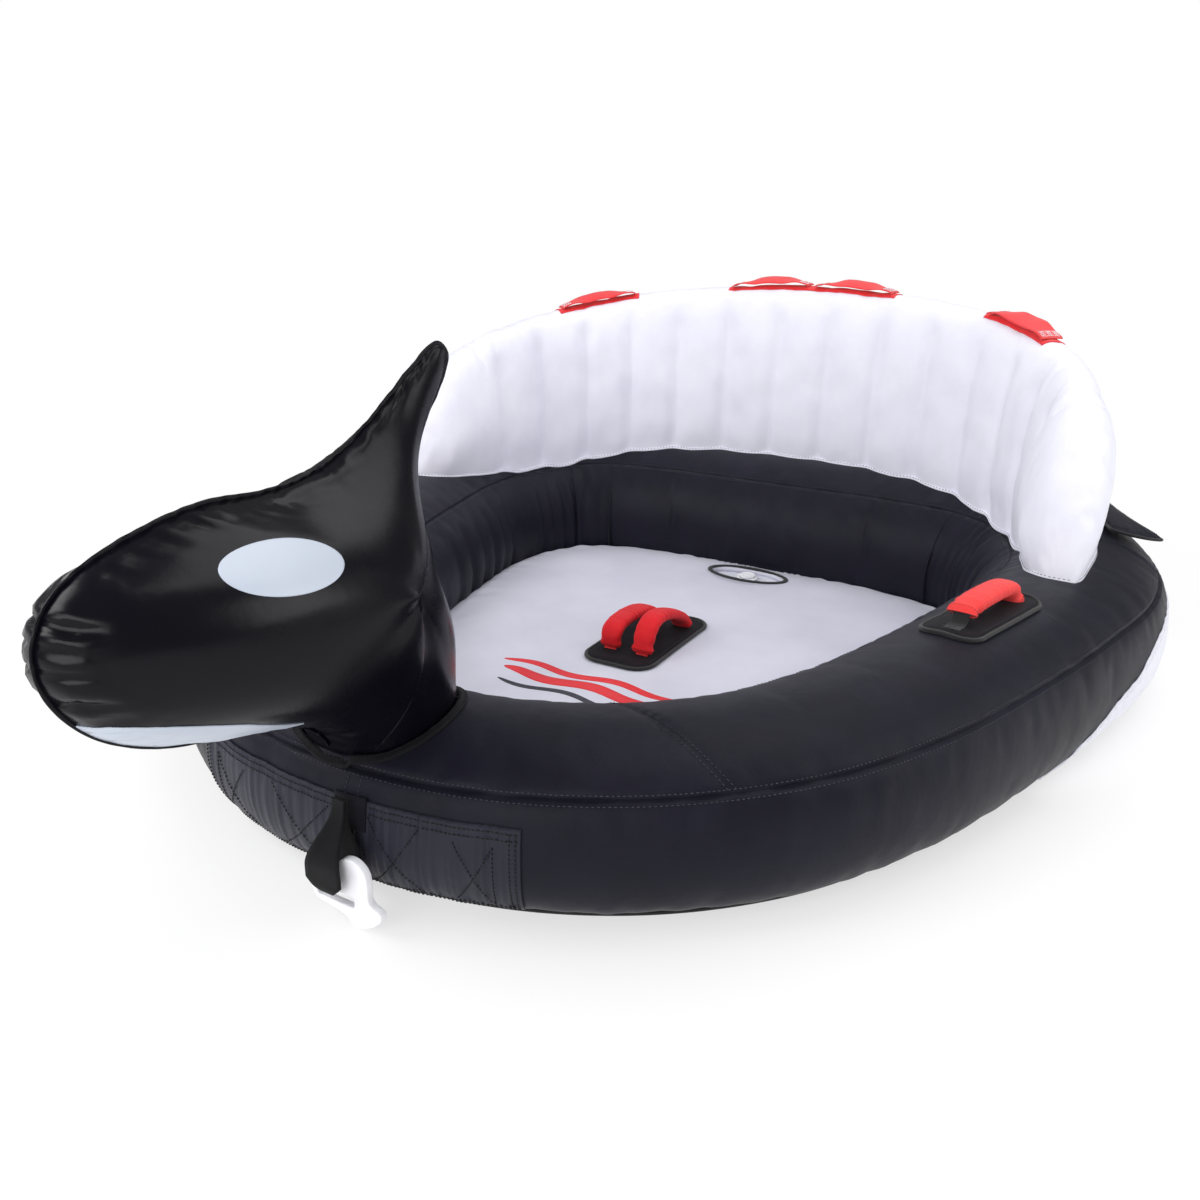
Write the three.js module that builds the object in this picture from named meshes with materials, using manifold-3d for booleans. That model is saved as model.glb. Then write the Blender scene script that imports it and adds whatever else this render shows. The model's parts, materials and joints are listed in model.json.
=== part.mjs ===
// Ride-in towable tube: a covered air ring of egg plan with an air floor, a curved backrest,
// a free-standing whale head on the front, tail flukes, grab handles, valves, a zip and a tow strap.
// Millimetres, +Z up, front (head and tow end) at -Y, port at +X, ground plane at z = 0.
import * as THREE from "three";
import { mergeVertices } from "three/addons/utils/BufferGeometryUtils.js";
import Module from "manifold-3d";

const wasm = await Module();
wasm.setup();

// ---------------------------------------------------------------- driving dimensions
// Plan of the ring's outer edge, port half, front to rear. The starboard half is its mirror.
const PLAN_HALF = [
  [0, -992],
  [225, -958],
  [425, -857],
  [585, -703],
  [690, -520],
  [774, -285],
  [842, -40],
  [890, 211],
  [872, 437],
  [762, 662],
  [560, 810],
  [300, 862],
  [150, 865],
  [0, 865],
];
const RING_STATIONS = 40;
const RING_HALF_WIDTH = { front: 160, rear: 188 };
const RING_HEIGHT = { front: 245, rear: 288 };
// Cross-section of the ring as shares of its half width (outward) and its height (up).
const RING_SECTION = [
  [0.68, 0.042],
  [0.9, 0.085],
  [1.02, 0.22],
  [1.055, 0.46],
  [0.985, 0.72],
  [0.82, 0.87],
  [0.55, 0.965],
  [0.25, 1.0],
  [-0.05, 0.99],
  [-0.35, 0.94],
  [-0.6, 0.85],
  [-0.8, 0.72],
  [-0.93, 0.55],
  [-0.985, 0.36],
  [-0.975, 0.18],
  [-0.92, 0.03],
];
const OUTER_SEAM = 4.45; // place along the section points where the outer band meets the top panel
const INNER_SEAM = 10; // section point where the top panel meets the inner band
const BAND_STEPS = { outer: 3, top: 6, inner: 4 };

const COVER_THICKNESS = 2;
const SEAM_GAP = 0.0008; // share of the section outline left open at each seam
const BLADDER_DEPTH = 3.2; // cover surface to bladder surface
const BLADDER_WALL = 3;
const BOTTOM_PANEL = { thickness: 2.5, inset: 6 };
const PIPING_RADIUS = 3.5;

const FLOOR = { inset: 6, bladderBase: 3.2, bladderTop: 36, coverBase: 37, coverTop: 40 };
const FLOOR_OPENING = { y: 428, halfLength: 92, halfWidth: 45, bindingWidth: 9, bindingHeight: 4 };

// Whale head, drawn in the centre plane as [y, z], from the nose over the back and down the neck.
const HEAD_PROFILE = [
  [-1346, 470],
  [-1330, 511],
  [-1288, 542],
  [-1215, 565],
  [-1130, 576],
  [-1050, 570],
  [-985, 573],
  [-915, 594],
  [-845, 634],
  [-775, 680],
  [-722, 706],
  [-702, 690],
  [-722, 648],
  [-768, 596],
  [-806, 540],
  [-820, 480],
  [-806, 410],
  [-783, 330],
  [-774, 250],
  [-776, 90],
  [-873, 60],
  [-966, 90],
  [-971, 200],
  [-1000, 248],
  [-1068, 284],
  [-1150, 303],
  [-1235, 330],
  [-1300, 372],
  [-1338, 425],
];
const HEAD_CENTRE = [-940, 440];
const HEAD_FULLNESS = 1.06; // swollen half width over that of round air tubes
const FIN = { rootZ: 470, thinZ: 640, thinness: 0.62 };
const HEAD_COLUMNS = 54;
const HEAD_RINGS = [0.3, 0.58, 0.8, 0.94, 1];
const HEAD_CELL = 10; // grid step of the air pressure solution
const NECK = { y: -872, hole: 1.03, hemInner: 1.045, hemOuter: 1.12, hemHeight: 5 };
const EYE = { y: -1116, z: 519, halfLength: 73, halfHeight: 27, tilt: -0.1 };
// Upper edge of the chin panel from the nose back to the throat, as [y, z].
const CHIN_EDGE = [
  [-1400, 404],
  [-1290, 388],
  [-1180, 350],
  [-1078, 300],
];
const CHIN_LOW = 200;

// Backrest, drawn along its middle line in plan, port half, rear centre to port end.
const BACKREST_HALF = [
  [0, 742],
  [240, 722],
  [470, 636],
  [620, 476],
  [692, 290],
  [722, 150],
  [732, 62],
];
const BACKREST = {
  stations: 22,
  crest: 702,
  crestFall: 205,
  fallPower: 2,
  halfThickness: 76,
  endHeightRun: 190,
  endWidthRun: 110,
  base: 190,
  skin: 2.6,
  bladderGap: 4,
};
const STRAP = {
  width: 50,
  thickness: 2.4,
  innerOffset: 107,
  outerOffset: 560,
  half: 98,
  rise: 9,
  gap: 0.8,
  axisHeight: 6,
  footInset: 4,
  footHalfWidth: 6,
};

const SIDE_HANDLE = { y: -156, out: -14, halfLength: 122, halfWidth: 57, thickness: 4, gap: 2.4, corner: 32 };
const SIDE_GRIP = {
  halfSpan: 74,
  rise: 13,
  webWidth: 28,
  sleeveWidth: 40,
  sleeveThickness: 21,
  sleeveFrom: 0.16,
  steps: 8,
};
const CENTRE_PAD = { y: -85, halfLength: 149, halfWidth: 74, corner: 42, thickness: 4 };
const CENTRE_GRIP = {
  x: 35,
  halfSpan: 88,
  rise: 62,
  webWidth: 26,
  sleeveWidth: 42,
  sleeveThickness: 18,
  sleeveFrom: 0.06,
  steps: 10,
};
const GRIP_SQUARENESS = 4; // power of the superellipse that a grip arches along
const GRIP_AXIS_HEIGHT = 16;
const WEB_THICKNESS = 3;
const RUN_CLEARANCE = 0.6;

const TOW = {
  pivotY: -1016,
  pivotZ: 182,
  x: 50,
  width: 50,
  web: 2.5,
  loopY: -1035,
  loopHalfGap: 20.5,
  loopBottom: 42,
  partedZ: 106, // height at which the two layers start to close towards the pivot
  closedDrop: 14, // how far under the pivot they meet
  eyeDrop: 8,
  eyeRadius: 1,
};
const HOOK = { thickness: 12, offset: 34, eyeFrom: -62, eyeTo: 2, eyeLow: 32, eyeHigh: 48.5, eyeRound: 6 };
const PATCH = { gap: 1.2, thickness: 1.6 };
const HULL = { frontY: -230, rearY: 640, low: 24, strip: 12, high: 182 };
// Upper edge of the hull patch, rear to front, as knots and the control points between them.
const HULL_RISE = { shoulderY: 380, upper: [150, 178], knee: [72, 124], lower: [-60, 104], stripY: -190 };
const TOW_ANCHOR = { low: 120, high: 166 };
const TOW_PANEL = { gap: 4, outer: 282, low: 34, high: 162 };
const VALVE = {
  flange: 24,
  flangeHeight: 4,
  stem: 14,
  stemDepth: 18,
  cap: 19,
  capHeight: 5,
  hinge: 25,
  facets: 14,
  tether: { length: 10, width: 9, thickness: 2 },
};
const MAIN_VALVE = { station: 24, outlineShare: 0.16, standOff: 2.6 };
const BACKREST_VALVE = { heightShare: 0.42, standOff: 2 };
const HEAD_VALVE = { z: 345, slopeRun: 20, standOff: 4 };
const ZIP = { halfLength: 250, halfWidth: 18, z: 136, sliderX: -238 };
const SLIDER = { length: 16, width: 12, height: 3, bridge: [5, 4, 5], bridgeY: -2 };
const PULL = { width: 9, length: 30, thickness: 1.6, hang: 13, stand: 8.3 };
const UNDER_GROUND = -20; // base of a cutting solid that is open to the ground
const FAR_UNDER = -30; // base of the solid taken out of that one
const FLUKE = {
  rootFront: [772, 395],
  rootRear: [650, 705],
  base: 279,
  thickness: 22,
  droop: 0.16,
};

// ---------------------------------------------------------------- helpers: meshes and solids
function closedGeometry(positions, triangles) {
  const geometry = new THREE.BufferGeometry();
  geometry.setAttribute("position", new THREE.Float32BufferAttribute(positions, 3));
  let volume = 0;
  const a = new THREE.Vector3();
  const b = new THREE.Vector3();
  const c = new THREE.Vector3();
  const at = (v, i) => v.fromArray(positions, i * 3);
  for (let i = 0; i < triangles.length; i += 3) {
    at(a, triangles[i]);
    at(b, triangles[i + 1]);
    at(c, triangles[i + 2]);
    volume += a.dot(b.cross(c));
  }
  if (volume < 0) triangles.reverse();
  geometry.setIndex(triangles);
  return geometry;
}

function toSolid(geometry) {
  const bare = geometry.clone();
  bare.deleteAttribute("normal");
  bare.deleteAttribute("uv");
  const merged = mergeVertices(bare, 1e-3);
  return new wasm.Manifold(
    new wasm.Mesh({
      numProp: 3,
      vertProperties: merged.attributes.position.array,
      triVerts: new Uint32Array(merged.index.array),
    }),
  );
}

function toGeometry(solid) {
  const mesh = solid.getMesh();
  const positions = [];
  for (let i = 0; i < mesh.numVert; i++) {
    const start = i * mesh.numProp;
    positions.push(...mesh.vertProperties.subarray(start, start + 3));
  }
  const geometry = new THREE.BufferGeometry();
  geometry.setAttribute("position", new THREE.Float32BufferAttribute(positions, 3));
  geometry.setIndex(Array.from(mesh.triVerts));
  return geometry;
}

// Drops the crumbs that a cut leaves, and keeps the piece itself.
function mainBody(solid) {
  return solid.decompose().reduce((best, body) => (body.volume() > best.volume() ? body : best));
}

const cut = (geometry, ...tools) =>
  toGeometry(
    mainBody(tools.reduce((solid, tool) => solid.subtract(toSolid(tool)), toSolid(geometry))),
  );
const join = (geometry, ...others) =>
  toGeometry(others.reduce((solid, other) => solid.add(toSolid(other)), toSolid(geometry)));

// Joins rings of points, each ring a closed outline, into one solid. The ends are capped unless
// the last ring runs on into the first.
function loft(rings, capOutline, runsOn = false) {
  const count = rings[0].length;
  const positions = rings.flat().flatMap((p) => p.toArray());
  const triangles = [];
  const last = runsOn ? rings.length : rings.length - 1;
  for (let i = 0; i < last; i++) {
    const next = (i + 1) % rings.length;
    for (let j = 0; j < count; j++) {
      const k = (j + 1) % count;
      triangles.push(i * count + j, i * count + k, next * count + k);
      triangles.push(i * count + j, next * count + k, next * count + j);
    }
  }
  if (!runsOn) {
    const end = (rings.length - 1) * count;
    for (const [p, q, r] of THREE.ShapeUtils.triangulateShape(capOutline, [])) {
      triangles.push(r, q, p);
      triangles.push(end + p, end + q, end + r);
    }
  }
  return closedGeometry(positions, triangles);
}

// Sweeps a section, given as [across, up] for each station, along frames of { origin, side, up }.
function sweep(frames, sectionAt, runsOn = false) {
  const sections = frames.map((frame, i) => sectionAt(i, frame));
  const outline = sections[0].map(([u, v]) => new THREE.Vector2(u, v));
  if (THREE.ShapeUtils.area(outline) < 0) {
    outline.reverse();
    sections.forEach((section) => section.reverse());
  }
  const rings = frames.map((frame, i) =>
    sections[i].map(([u, v]) =>
      frame.origin.clone().addScaledVector(frame.side, u).addScaledVector(frame.up, v),
    ),
  );
  return loft(rings, outline, runsOn);
}

// A closed slab between two offset copies of a grid of surface points.
function slab(columns, rows, pointAt, low, high) {
  const positions = [];
  for (const offset of [low, high])
    for (const s of columns) for (const t of rows) positions.push(...pointAt(s, t, offset).toArray());
  const n = rows.length;
  const layer = columns.length * n;
  const id = (i, j, top) => (top ? layer : 0) + i * n + j;
  const triangles = [];
  const quad = (a, b, c, d) => triangles.push(a, b, c, a, c, d);
  const iEnd = columns.length - 1;
  const jEnd = n - 1;
  for (let i = 0; i < iEnd; i++)
    for (let j = 0; j < jEnd; j++) {
      quad(id(i, j, 1), id(i + 1, j, 1), id(i + 1, j + 1, 1), id(i, j + 1, 1));
      quad(id(i, j, 0), id(i, j + 1, 0), id(i + 1, j + 1, 0), id(i + 1, j, 0));
    }
  for (let i = 0; i < iEnd; i++) {
    quad(id(i, 0, 0), id(i + 1, 0, 0), id(i + 1, 0, 1), id(i, 0, 1));
    quad(id(i + 1, jEnd, 0), id(i, jEnd, 0), id(i, jEnd, 1), id(i + 1, jEnd, 1));
  }
  for (let j = 0; j < jEnd; j++) {
    quad(id(0, j + 1, 0), id(0, j, 0), id(0, j, 1), id(0, j + 1, 1));
    quad(id(iEnd, j, 0), id(iEnd, j + 1, 0), id(iEnd, j + 1, 1), id(iEnd, j, 1));
  }
  return closedGeometry(positions, triangles);
}

function extrude(shape, depth, curveSegments = 12) {
  return new THREE.ExtrudeGeometry(shape, { depth, bevelEnabled: false, curveSegments });
}

function polygonShape(points) {
  return new THREE.Shape(points.map(([x, y]) => new THREE.Vector2(x, y)));
}

function roundedRectangle(halfX, halfY, radius) {
  const shape = new THREE.Shape();
  shape.absarc(halfX - radius, halfY - radius, radius, 0, Math.PI / 2);
  shape.absarc(-halfX + radius, halfY - radius, radius, Math.PI / 2, Math.PI);
  shape.absarc(-halfX + radius, -halfY + radius, radius, Math.PI, Math.PI * 1.5);
  shape.absarc(halfX - radius, -halfY + radius, radius, Math.PI * 1.5, Math.PI * 2);
  return shape;
}

// ---------------------------------------------------------------- finishes
const finish = (color, roughness, metalness = 0) => ({ color, roughness, metalness });
const FINISH = {
  darkNylon: finish(0x2f2f3d, 0.62),
  whiteNylon: finish(0xe9e9f2, 0.6),
  blackVinyl: finish(0x19191e, 0.28),
  paleVinyl: finish(0xd2dce8, 0.35),
  floorVinyl: finish(0xd8dae8, 0.5),
  airVinyl: finish(0x9aa3ad, 0.45),
  blackWebbing: finish(0x17171a, 0.85),
  redWebbing: finish(0xe5323b, 0.7),
  redSleeve: finish(0xe0222c, 0.65),
  whitePlastic: finish(0xf2f2f4, 0.35),
  valvePlastic: finish(0x2a2c30, 0.4),
  zipPlastic: finish(0x1d1d20, 0.5),
};

const tube = new THREE.Group();

function piece(name, geometry, finishName, parent = tube) {
  const mesh = new THREE.Mesh(geometry, new THREE.MeshStandardMaterial(FINISH[finishName]));
  mesh.name = name;
  parent.add(mesh);
  return mesh;
}

const SIDES = [
  ["port", 1],
  ["starboard", -1],
];

function mirrored(geometry) {
  const copy = geometry.clone();
  copy.scale(-1, 1, 1);
  return closedGeometry(Array.from(copy.attributes.position.array), Array.from(copy.index.array));
}

// ---------------------------------------------------------------- ring surface
const starboardHalf = PLAN_HALF.slice(1, -1)
  .reverse()
  .map(([x, y]) => [-x, y]);
const planCurve = new THREE.CatmullRomCurve3(
  [...PLAN_HALF, ...starboardHalf].map(([x, y]) => new THREE.Vector3(x, y, 0)),
  true,
  "centripetal",
);
planCurve.arcLengthDivisions = 2000;

const UP = new THREE.Vector3(0, 0, 1);
const frontY = PLAN_HALF[0][1];
const rearY = PLAN_HALF[PLAN_HALF.length - 1][1];

// Stations run from the front centre round the port side. Each knows its own width and height.
const stations = Array.from({ length: RING_STATIONS }, (_, i) => {
  const edge = planCurve.getPointAt(i / RING_STATIONS);
  const tangent = planCurve.getTangentAt(i / RING_STATIONS);
  const out = new THREE.Vector3(tangent.y, -tangent.x, 0).normalize();
  const share = (edge.y - frontY) / (rearY - frontY);
  const halfWidth = THREE.MathUtils.lerp(RING_HALF_WIDTH.front, RING_HALF_WIDTH.rear, share);
  const height = THREE.MathUtils.lerp(RING_HEIGHT.front, RING_HEIGHT.rear, share);
  return { origin: edge.addScaledVector(out, -halfWidth), side: out, up: UP, halfWidth, height };
});

const sectionCurve = new THREE.SplineCurve(RING_SECTION.map(([u, v]) => new THREE.Vector2(u, v)));
const sectionEnd = RING_SECTION.length - 1;
const SEAM_T = { outer: OUTER_SEAM / sectionEnd, inner: INNER_SEAM / sectionEnd };

// Point of a station's section at outline share t, moved outward by offset.
function sectionPoint(station, t, offset = 0) {
  const p = sectionCurve.getPoint(t);
  const d = sectionCurve.getTangent(t);
  const along = new THREE.Vector2(d.x * station.halfWidth, d.y * station.height).normalize();
  const u = p.x * station.halfWidth + along.y * offset;
  const v = p.y * station.height - along.x * offset;
  return [u, v];
}

function spread(from, to, steps) {
  return Array.from({ length: steps + 1 }, (_, i) => from + ((to - from) * i) / steps);
}

const outerTs = spread(SEAM_GAP, SEAM_T.outer - SEAM_GAP, BAND_STEPS.outer);
const topTs = spread(SEAM_T.outer + SEAM_GAP, SEAM_T.inner - SEAM_GAP, BAND_STEPS.top);
const innerTs = spread(SEAM_T.inner + SEAM_GAP, 1 - SEAM_GAP, BAND_STEPS.inner);

function panelGeometry(ts) {
  return sweep(
    stations,
    (i, station) => [
      ...ts.map((t) => sectionPoint(station, t)),
      ...[...ts].reverse().map((t) => sectionPoint(station, t, -COVER_THICKNESS)),
    ],
    true,
  );
}

// Solid of the ring at a depth under the cover surface, with a flat base.
const outlineTs = [...outerTs, ...topTs.slice(1), ...innerTs.slice(1)];
function ringSolid(depth, baseZ, ts = outlineTs) {
  const outline = (i, station) =>
    ts.map((t) => sectionPoint(station, t, -depth)).map(([u, v]) => [u, Math.max(v, baseZ)]);
  return sweep(stations, outline, true);
}

// Point on the cover at a real-valued station and outline share, on the flat facets of the panels.
function coverPoint(stationNumber, t, offset) {
  const low = Math.floor(stationNumber);
  const share = stationNumber - low;
  const corner = (index) => {
    const station = stations[((index % RING_STATIONS) + RING_STATIONS) % RING_STATIONS];
    const [u, v] = sectionPoint(station, t, offset);
    return station.origin.clone().addScaledVector(station.side, u).addScaledVector(UP, v);
  };
  return corner(low).lerp(corner(low + 1), share);
}

function coverFrame(stationNumber, t, offset) {
  const origin = coverPoint(stationNumber, t, offset);
  const normal = coverPoint(stationNumber, t, offset + 1).sub(origin).normalize();
  const ahead = coverPoint(stationNumber + 0.1, t, offset);
  const along = ahead.sub(origin).projectOnPlane(normal).normalize();
  return { origin, normal, along, across: new THREE.Vector3().crossVectors(normal, along) };
}

// Station number at which the ring's middle line reaches a given y on the port side.
function stationAtY(y) {
  for (let i = 0; i < RING_STATIONS / 2; i++) {
    const a = stations[i].origin.y;
    const b = stations[i + 1].origin.y;
    if (a <= y && y <= b) return i + (y - a) / (b - a);
  }
  throw new Error("no station at y " + y);
}

const ringEnvelope = ringSolid(-PATCH.gap, UNDER_GROUND);

// ---------------------------------------------------------------- head surface
// The two side panels of the head are welded round their edge and blown up: the half width at a
// point is the root of the pressure solution over the profile, which is zero on the weld.
const headCurve = new THREE.CatmullRomCurve3(
  HEAD_PROFILE.map(([y, z]) => new THREE.Vector3(0, y, z)),
  true,
  "centripetal",
);
const headRim = headCurve.getSpacedPoints(HEAD_COLUMNS).slice(0, -1);

function insideHead(y, z) {
  let inside = false;
  for (let i = 0, j = headRim.length - 1; i < headRim.length; j = i++) {
    const a = headRim[i];
    const b = headRim[j];
    if (a.z > z !== b.z > z && y < ((b.y - a.y) * (z - a.z)) / (b.z - a.z) + a.y) inside = !inside;
  }
  return inside;
}

function solveHeadPressure() {
  const box = new THREE.Box3().setFromPoints(headRim).expandByScalar(2 * HEAD_CELL);
  const columns = Math.ceil((box.max.y - box.min.y) / HEAD_CELL);
  const rows = Math.ceil((box.max.z - box.min.z) / HEAD_CELL);
  const field = new Float64Array(columns * rows);
  const inner = [];
  for (let i = 1; i < columns - 1; i++)
    for (let j = 1; j < rows - 1; j++)
      if (insideHead(box.min.y + i * HEAD_CELL, box.min.z + j * HEAD_CELL)) inner.push(i * rows + j);
  const relax = 1.9;
  for (let pass = 0; pass < 400; pass++)
    for (const k of inner) {
      const around = field[k - rows] + field[k + rows] + field[k - 1] + field[k + 1];
      field[k] += relax * ((around + HEAD_CELL * HEAD_CELL) / 4 - field[k]);
    }
  return (y, z) => {
    const u = (y - box.min.y) / HEAD_CELL;
    const v = (z - box.min.z) / HEAD_CELL;
    const i = Math.floor(u);
    const j = Math.floor(v);
    const at = (di, dj) => field[(i + di) * rows + j + dj];
    const low = THREE.MathUtils.lerp(at(0, 0), at(1, 0), u - i);
    const high = THREE.MathUtils.lerp(at(0, 1), at(1, 1), u - i);
    return Math.max(THREE.MathUtils.lerp(low, high, v - j), 0);
  };
}

const headPressure = solveHeadPressure();
const finThinness = (z) =>
  THREE.MathUtils.lerp(1, FIN.thinness, THREE.MathUtils.smoothstep(z, FIN.rootZ, FIN.thinZ));
const headHalfWidth = (y, z) =>
  HEAD_FULLNESS * finThinness(z) * Math.sqrt(2 * headPressure(y, z));

// The head's solid, or a copy of it grown by a distance.
function headSolid(grow = 0) {
  const centre = new THREE.Vector3(0, ...HEAD_CENTRE);
  const positions = [];
  const rims = headRim.length;
  for (const side of [1, -1]) {
    positions.push(side * (headHalfWidth(...HEAD_CENTRE) + grow), ...HEAD_CENTRE);
    for (const share of HEAD_RINGS.slice(0, -1))
      for (const rim of headRim) {
        const arm = rim.clone().sub(centre);
        const p = centre.clone().addScaledVector(arm, share);
        const width = headHalfWidth(p.y, p.z) + grow;
        p.addScaledVector(arm.normalize(), grow * share);
        positions.push(side * width, p.y, p.z);
      }
  }
  const rimStart = positions.length / 3;
  for (const rim of headRim) {
    const arm = rim.clone().sub(centre).normalize();
    const p = rim.clone().addScaledVector(arm, grow);
    positions.push(0, p.y, p.z);
  }
  const triangles = [];
  const inner = HEAD_RINGS.length - 1;
  const half = 1 + inner * rims;
  for (const [start, side] of [
    [0, 1],
    [half, -1],
  ]) {
    const add = (a, b, c) => (side > 0 ? triangles.push(a, b, c) : triangles.push(a, c, b));
    const at = (ring, j) => (ring === inner ? rimStart : start + 1 + ring * rims) + (j % rims);
    for (let j = 0; j < rims; j++) {
      add(start, at(0, j), at(0, j + 1));
      for (let ring = 0; ring < inner; ring++) {
        add(at(ring, j), at(ring + 1, j), at(ring + 1, j + 1));
        add(at(ring, j), at(ring + 1, j + 1), at(ring, j + 1));
      }
    }
  }
  return closedGeometry(positions, triangles);
}

function scaledAboutNeck(geometry, factor) {
  const copy = geometry.clone();
  copy.translate(0, -NECK.y, 0).scale(factor, factor, 1).translate(0, NECK.y, 0);
  return copy;
}

const head = headSolid();
const headShellInner = headSolid(RUN_CLEARANCE);
const headShellOuter = headSolid(RUN_CLEARANCE + PATCH.thickness);

// ---------------------------------------------------------------- backrest surface
const backrestCurve = new THREE.CatmullRomCurve3(
  [...BACKREST_HALF.slice(1).reverse().map(([x, y]) => [-x, y]), ...BACKREST_HALF].map(
    ([x, y]) => new THREE.Vector3(x, y, 0),
  ),
  false,
  "centripetal",
);
backrestCurve.arcLengthDivisions = 1000;
const backrestLength = backrestCurve.getLength();

// Frame of the backrest at a distance from its starboard end, with its crest height there.
function backrestFrame(distance) {
  const share = THREE.MathUtils.clamp(distance / backrestLength, 0, 1);
  const origin = backrestCurve.getPointAt(share);
  const tangent = backrestCurve.getTangentAt(share);
  const fromMiddle = Math.abs(2 * share - 1);
  const full = BACKREST.crest - BACKREST.crestFall * fromMiddle ** BACKREST.fallPower;
  return { origin, side: new THREE.Vector3(-tangent.y, tangent.x, 0), up: UP, full, share };
}

const quarterRound = (distance, run) => Math.sqrt(1 - (1 - Math.min(distance / run, 1)) ** 2);

function crestAt(distance) {
  const fromEnd = Math.min(distance, backrestLength - distance);
  const { full } = backrestFrame(distance);
  return BACKREST.base + (full - BACKREST.base) * quarterRound(fromEnd, BACKREST.endHeightRun);
}

// Section of the backrest as shares of its half thickness and of its height over the base.
const BACKREST_SECTION = [
  [0.86, 0],
  [1.0, 0.36],
  [0.86, 0.72],
  [0.5, 0.94],
  [0, 1.0],
  [-0.5, 0.94],
  [-0.86, 0.72],
  [-1.0, 0.36],
  [-0.86, 0],
];

function backrestSolid(inset) {
  const ends = 4 + inset * 2;
  const run = backrestLength - 2 * ends;
  const bunched = spread(0, 1, BACKREST.stations).map((x) => (1 - Math.cos(Math.PI * x)) / 2);
  const places = bunched.map((x, i) => ends + run * THREE.MathUtils.lerp(x, i / BACKREST.stations, 0.5));
  const frames = places.map(backrestFrame);
  return sweep(frames, (i) => {
    const fromEnd = Math.min(places[i], backrestLength - places[i]);
    const half = BACKREST.halfThickness * quarterRound(fromEnd, BACKREST.endWidthRun) - inset;
    const top = crestAt(places[i]) - inset;
    return BACKREST_SECTION.map(([u, v]) => [u * half, BACKREST.base + v * (top - BACKREST.base)]);
  });
}

// ---------------------------------------------------------------- valves
// A valve stands on a frame of { origin, normal, across }. Its cap turns on a hinge at the rim.
function valvePlug(frame) {
  const profile = [
    [0, -VALVE.stemDepth],
    [VALVE.stem, -VALVE.stemDepth],
    [VALVE.stem, 0],
    [VALVE.flange, 0],
    [VALVE.flange, VALVE.flangeHeight],
    [0, VALVE.flangeHeight],
  ].map(([r, z]) => new THREE.Vector2(r, z));
  return place(new THREE.LatheGeometry(profile, VALVE.facets).rotateX(Math.PI / 2), frame);
}

function valveCap(frame) {
  const base = VALVE.flangeHeight + RUN_CLEARANCE;
  const disc = new THREE.CylinderGeometry(VALVE.cap, VALVE.cap, VALVE.capHeight, VALVE.facets);
  disc.rotateX(Math.PI / 2).translate(0, 0, base + VALVE.capHeight / 2);
  const { length, width, thickness } = VALVE.tether;
  const tab = new THREE.BoxGeometry(length, width, thickness);
  tab.translate(1 - VALVE.hinge + length / 2, 0, base + thickness / 2);
  return place(join(disc, tab), frame);
}

function valveHole(frame) {
  const radius = VALVE.stem + 1;
  const hole = new THREE.CylinderGeometry(radius, radius, VALVE.stemDepth * 4, VALVE.facets);
  return place(hole.rotateX(Math.PI / 2), frame);
}

function place(geometry, frame) {
  const y = new THREE.Vector3().crossVectors(frame.normal, frame.across);
  const matrix = new THREE.Matrix4().makeBasis(frame.across, y, frame.normal);
  matrix.setPosition(frame.origin);
  return geometry.applyMatrix4(matrix);
}

const mainValveFrame = coverFrame(MAIN_VALVE.station, MAIN_VALVE.outlineShare, MAIN_VALVE.standOff);
mainValveFrame.across = mainValveFrame.along;

const floorValveFrame = {
  origin: new THREE.Vector3(0, FLOOR_OPENING.y, FLOOR.bladderTop + RUN_CLEARANCE),
  normal: UP,
  across: new THREE.Vector3(1, 0, 0),
};

function backrestValveFrame() {
  const frame = backrestFrame(backrestLength * 0.5);
  const reach = BACKREST.halfThickness + BACKREST_VALVE.standOff;
  const origin = frame.origin.clone().addScaledVector(frame.side, reach);
  origin.z = THREE.MathUtils.lerp(BACKREST.base, frame.full, BACKREST_VALVE.heightShare);
  return { origin, normal: frame.side, across: new THREE.Vector3(1, 0, 0) };
}

function headValveFrame() {
  const { y } = NECK;
  const { z, slopeRun: step } = HEAD_VALVE;
  const slopeY = (headHalfWidth(y + step, z) - headHalfWidth(y - step, z)) / (2 * step);
  const slopeZ = (headHalfWidth(y, z + step) - headHalfWidth(y, z - step)) / (2 * step);
  const normal = new THREE.Vector3(-1, -slopeY, -slopeZ).normalize();
  const origin = new THREE.Vector3(-headHalfWidth(y, z), y, z);
  origin.addScaledVector(normal, HEAD_VALVE.standOff);
  const across = new THREE.Vector3().crossVectors(new THREE.Vector3(0, 1, 0), normal).normalize();
  return { origin, normal, across };
}

const valveFrames = {
  main: mainValveFrame,
  floor: floorValveFrame,
  backrest: backrestValveFrame(),
  head: headValveFrame(),
};

for (const [name, frame] of Object.entries(valveFrames)) {
  piece(name + "_valve_body", valvePlug(frame), "valvePlastic");
  piece(name + "_valve_cap", valveCap(frame), "valvePlastic");
}

// ---------------------------------------------------------------- cover
const neckTool = scaledAboutNeck(head, NECK.hole);
piece("cover_outer_band", cut(panelGeometry(outerTs), valveHole(mainValveFrame)), "darkNylon");
piece("cover_top_panel", cut(panelGeometry(topTs), neckTool), "darkNylon");
piece("cover_inner_band", panelGeometry(innerTs), "darkNylon");

const bottomEdge = (station) => station.halfWidth * RING_SECTION[0][0];

function bottomPanel() {
  const outline = stations.map((s) => {
    const p = s.origin.clone().addScaledVector(s.side, bottomEdge(s) - BOTTOM_PANEL.inset);
    return [p.x, p.y];
  });
  return extrude(polygonShape(outline), BOTTOM_PANEL.thickness);
}
piece("cover_bottom_panel", bottomPanel(), "darkNylon");

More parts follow.
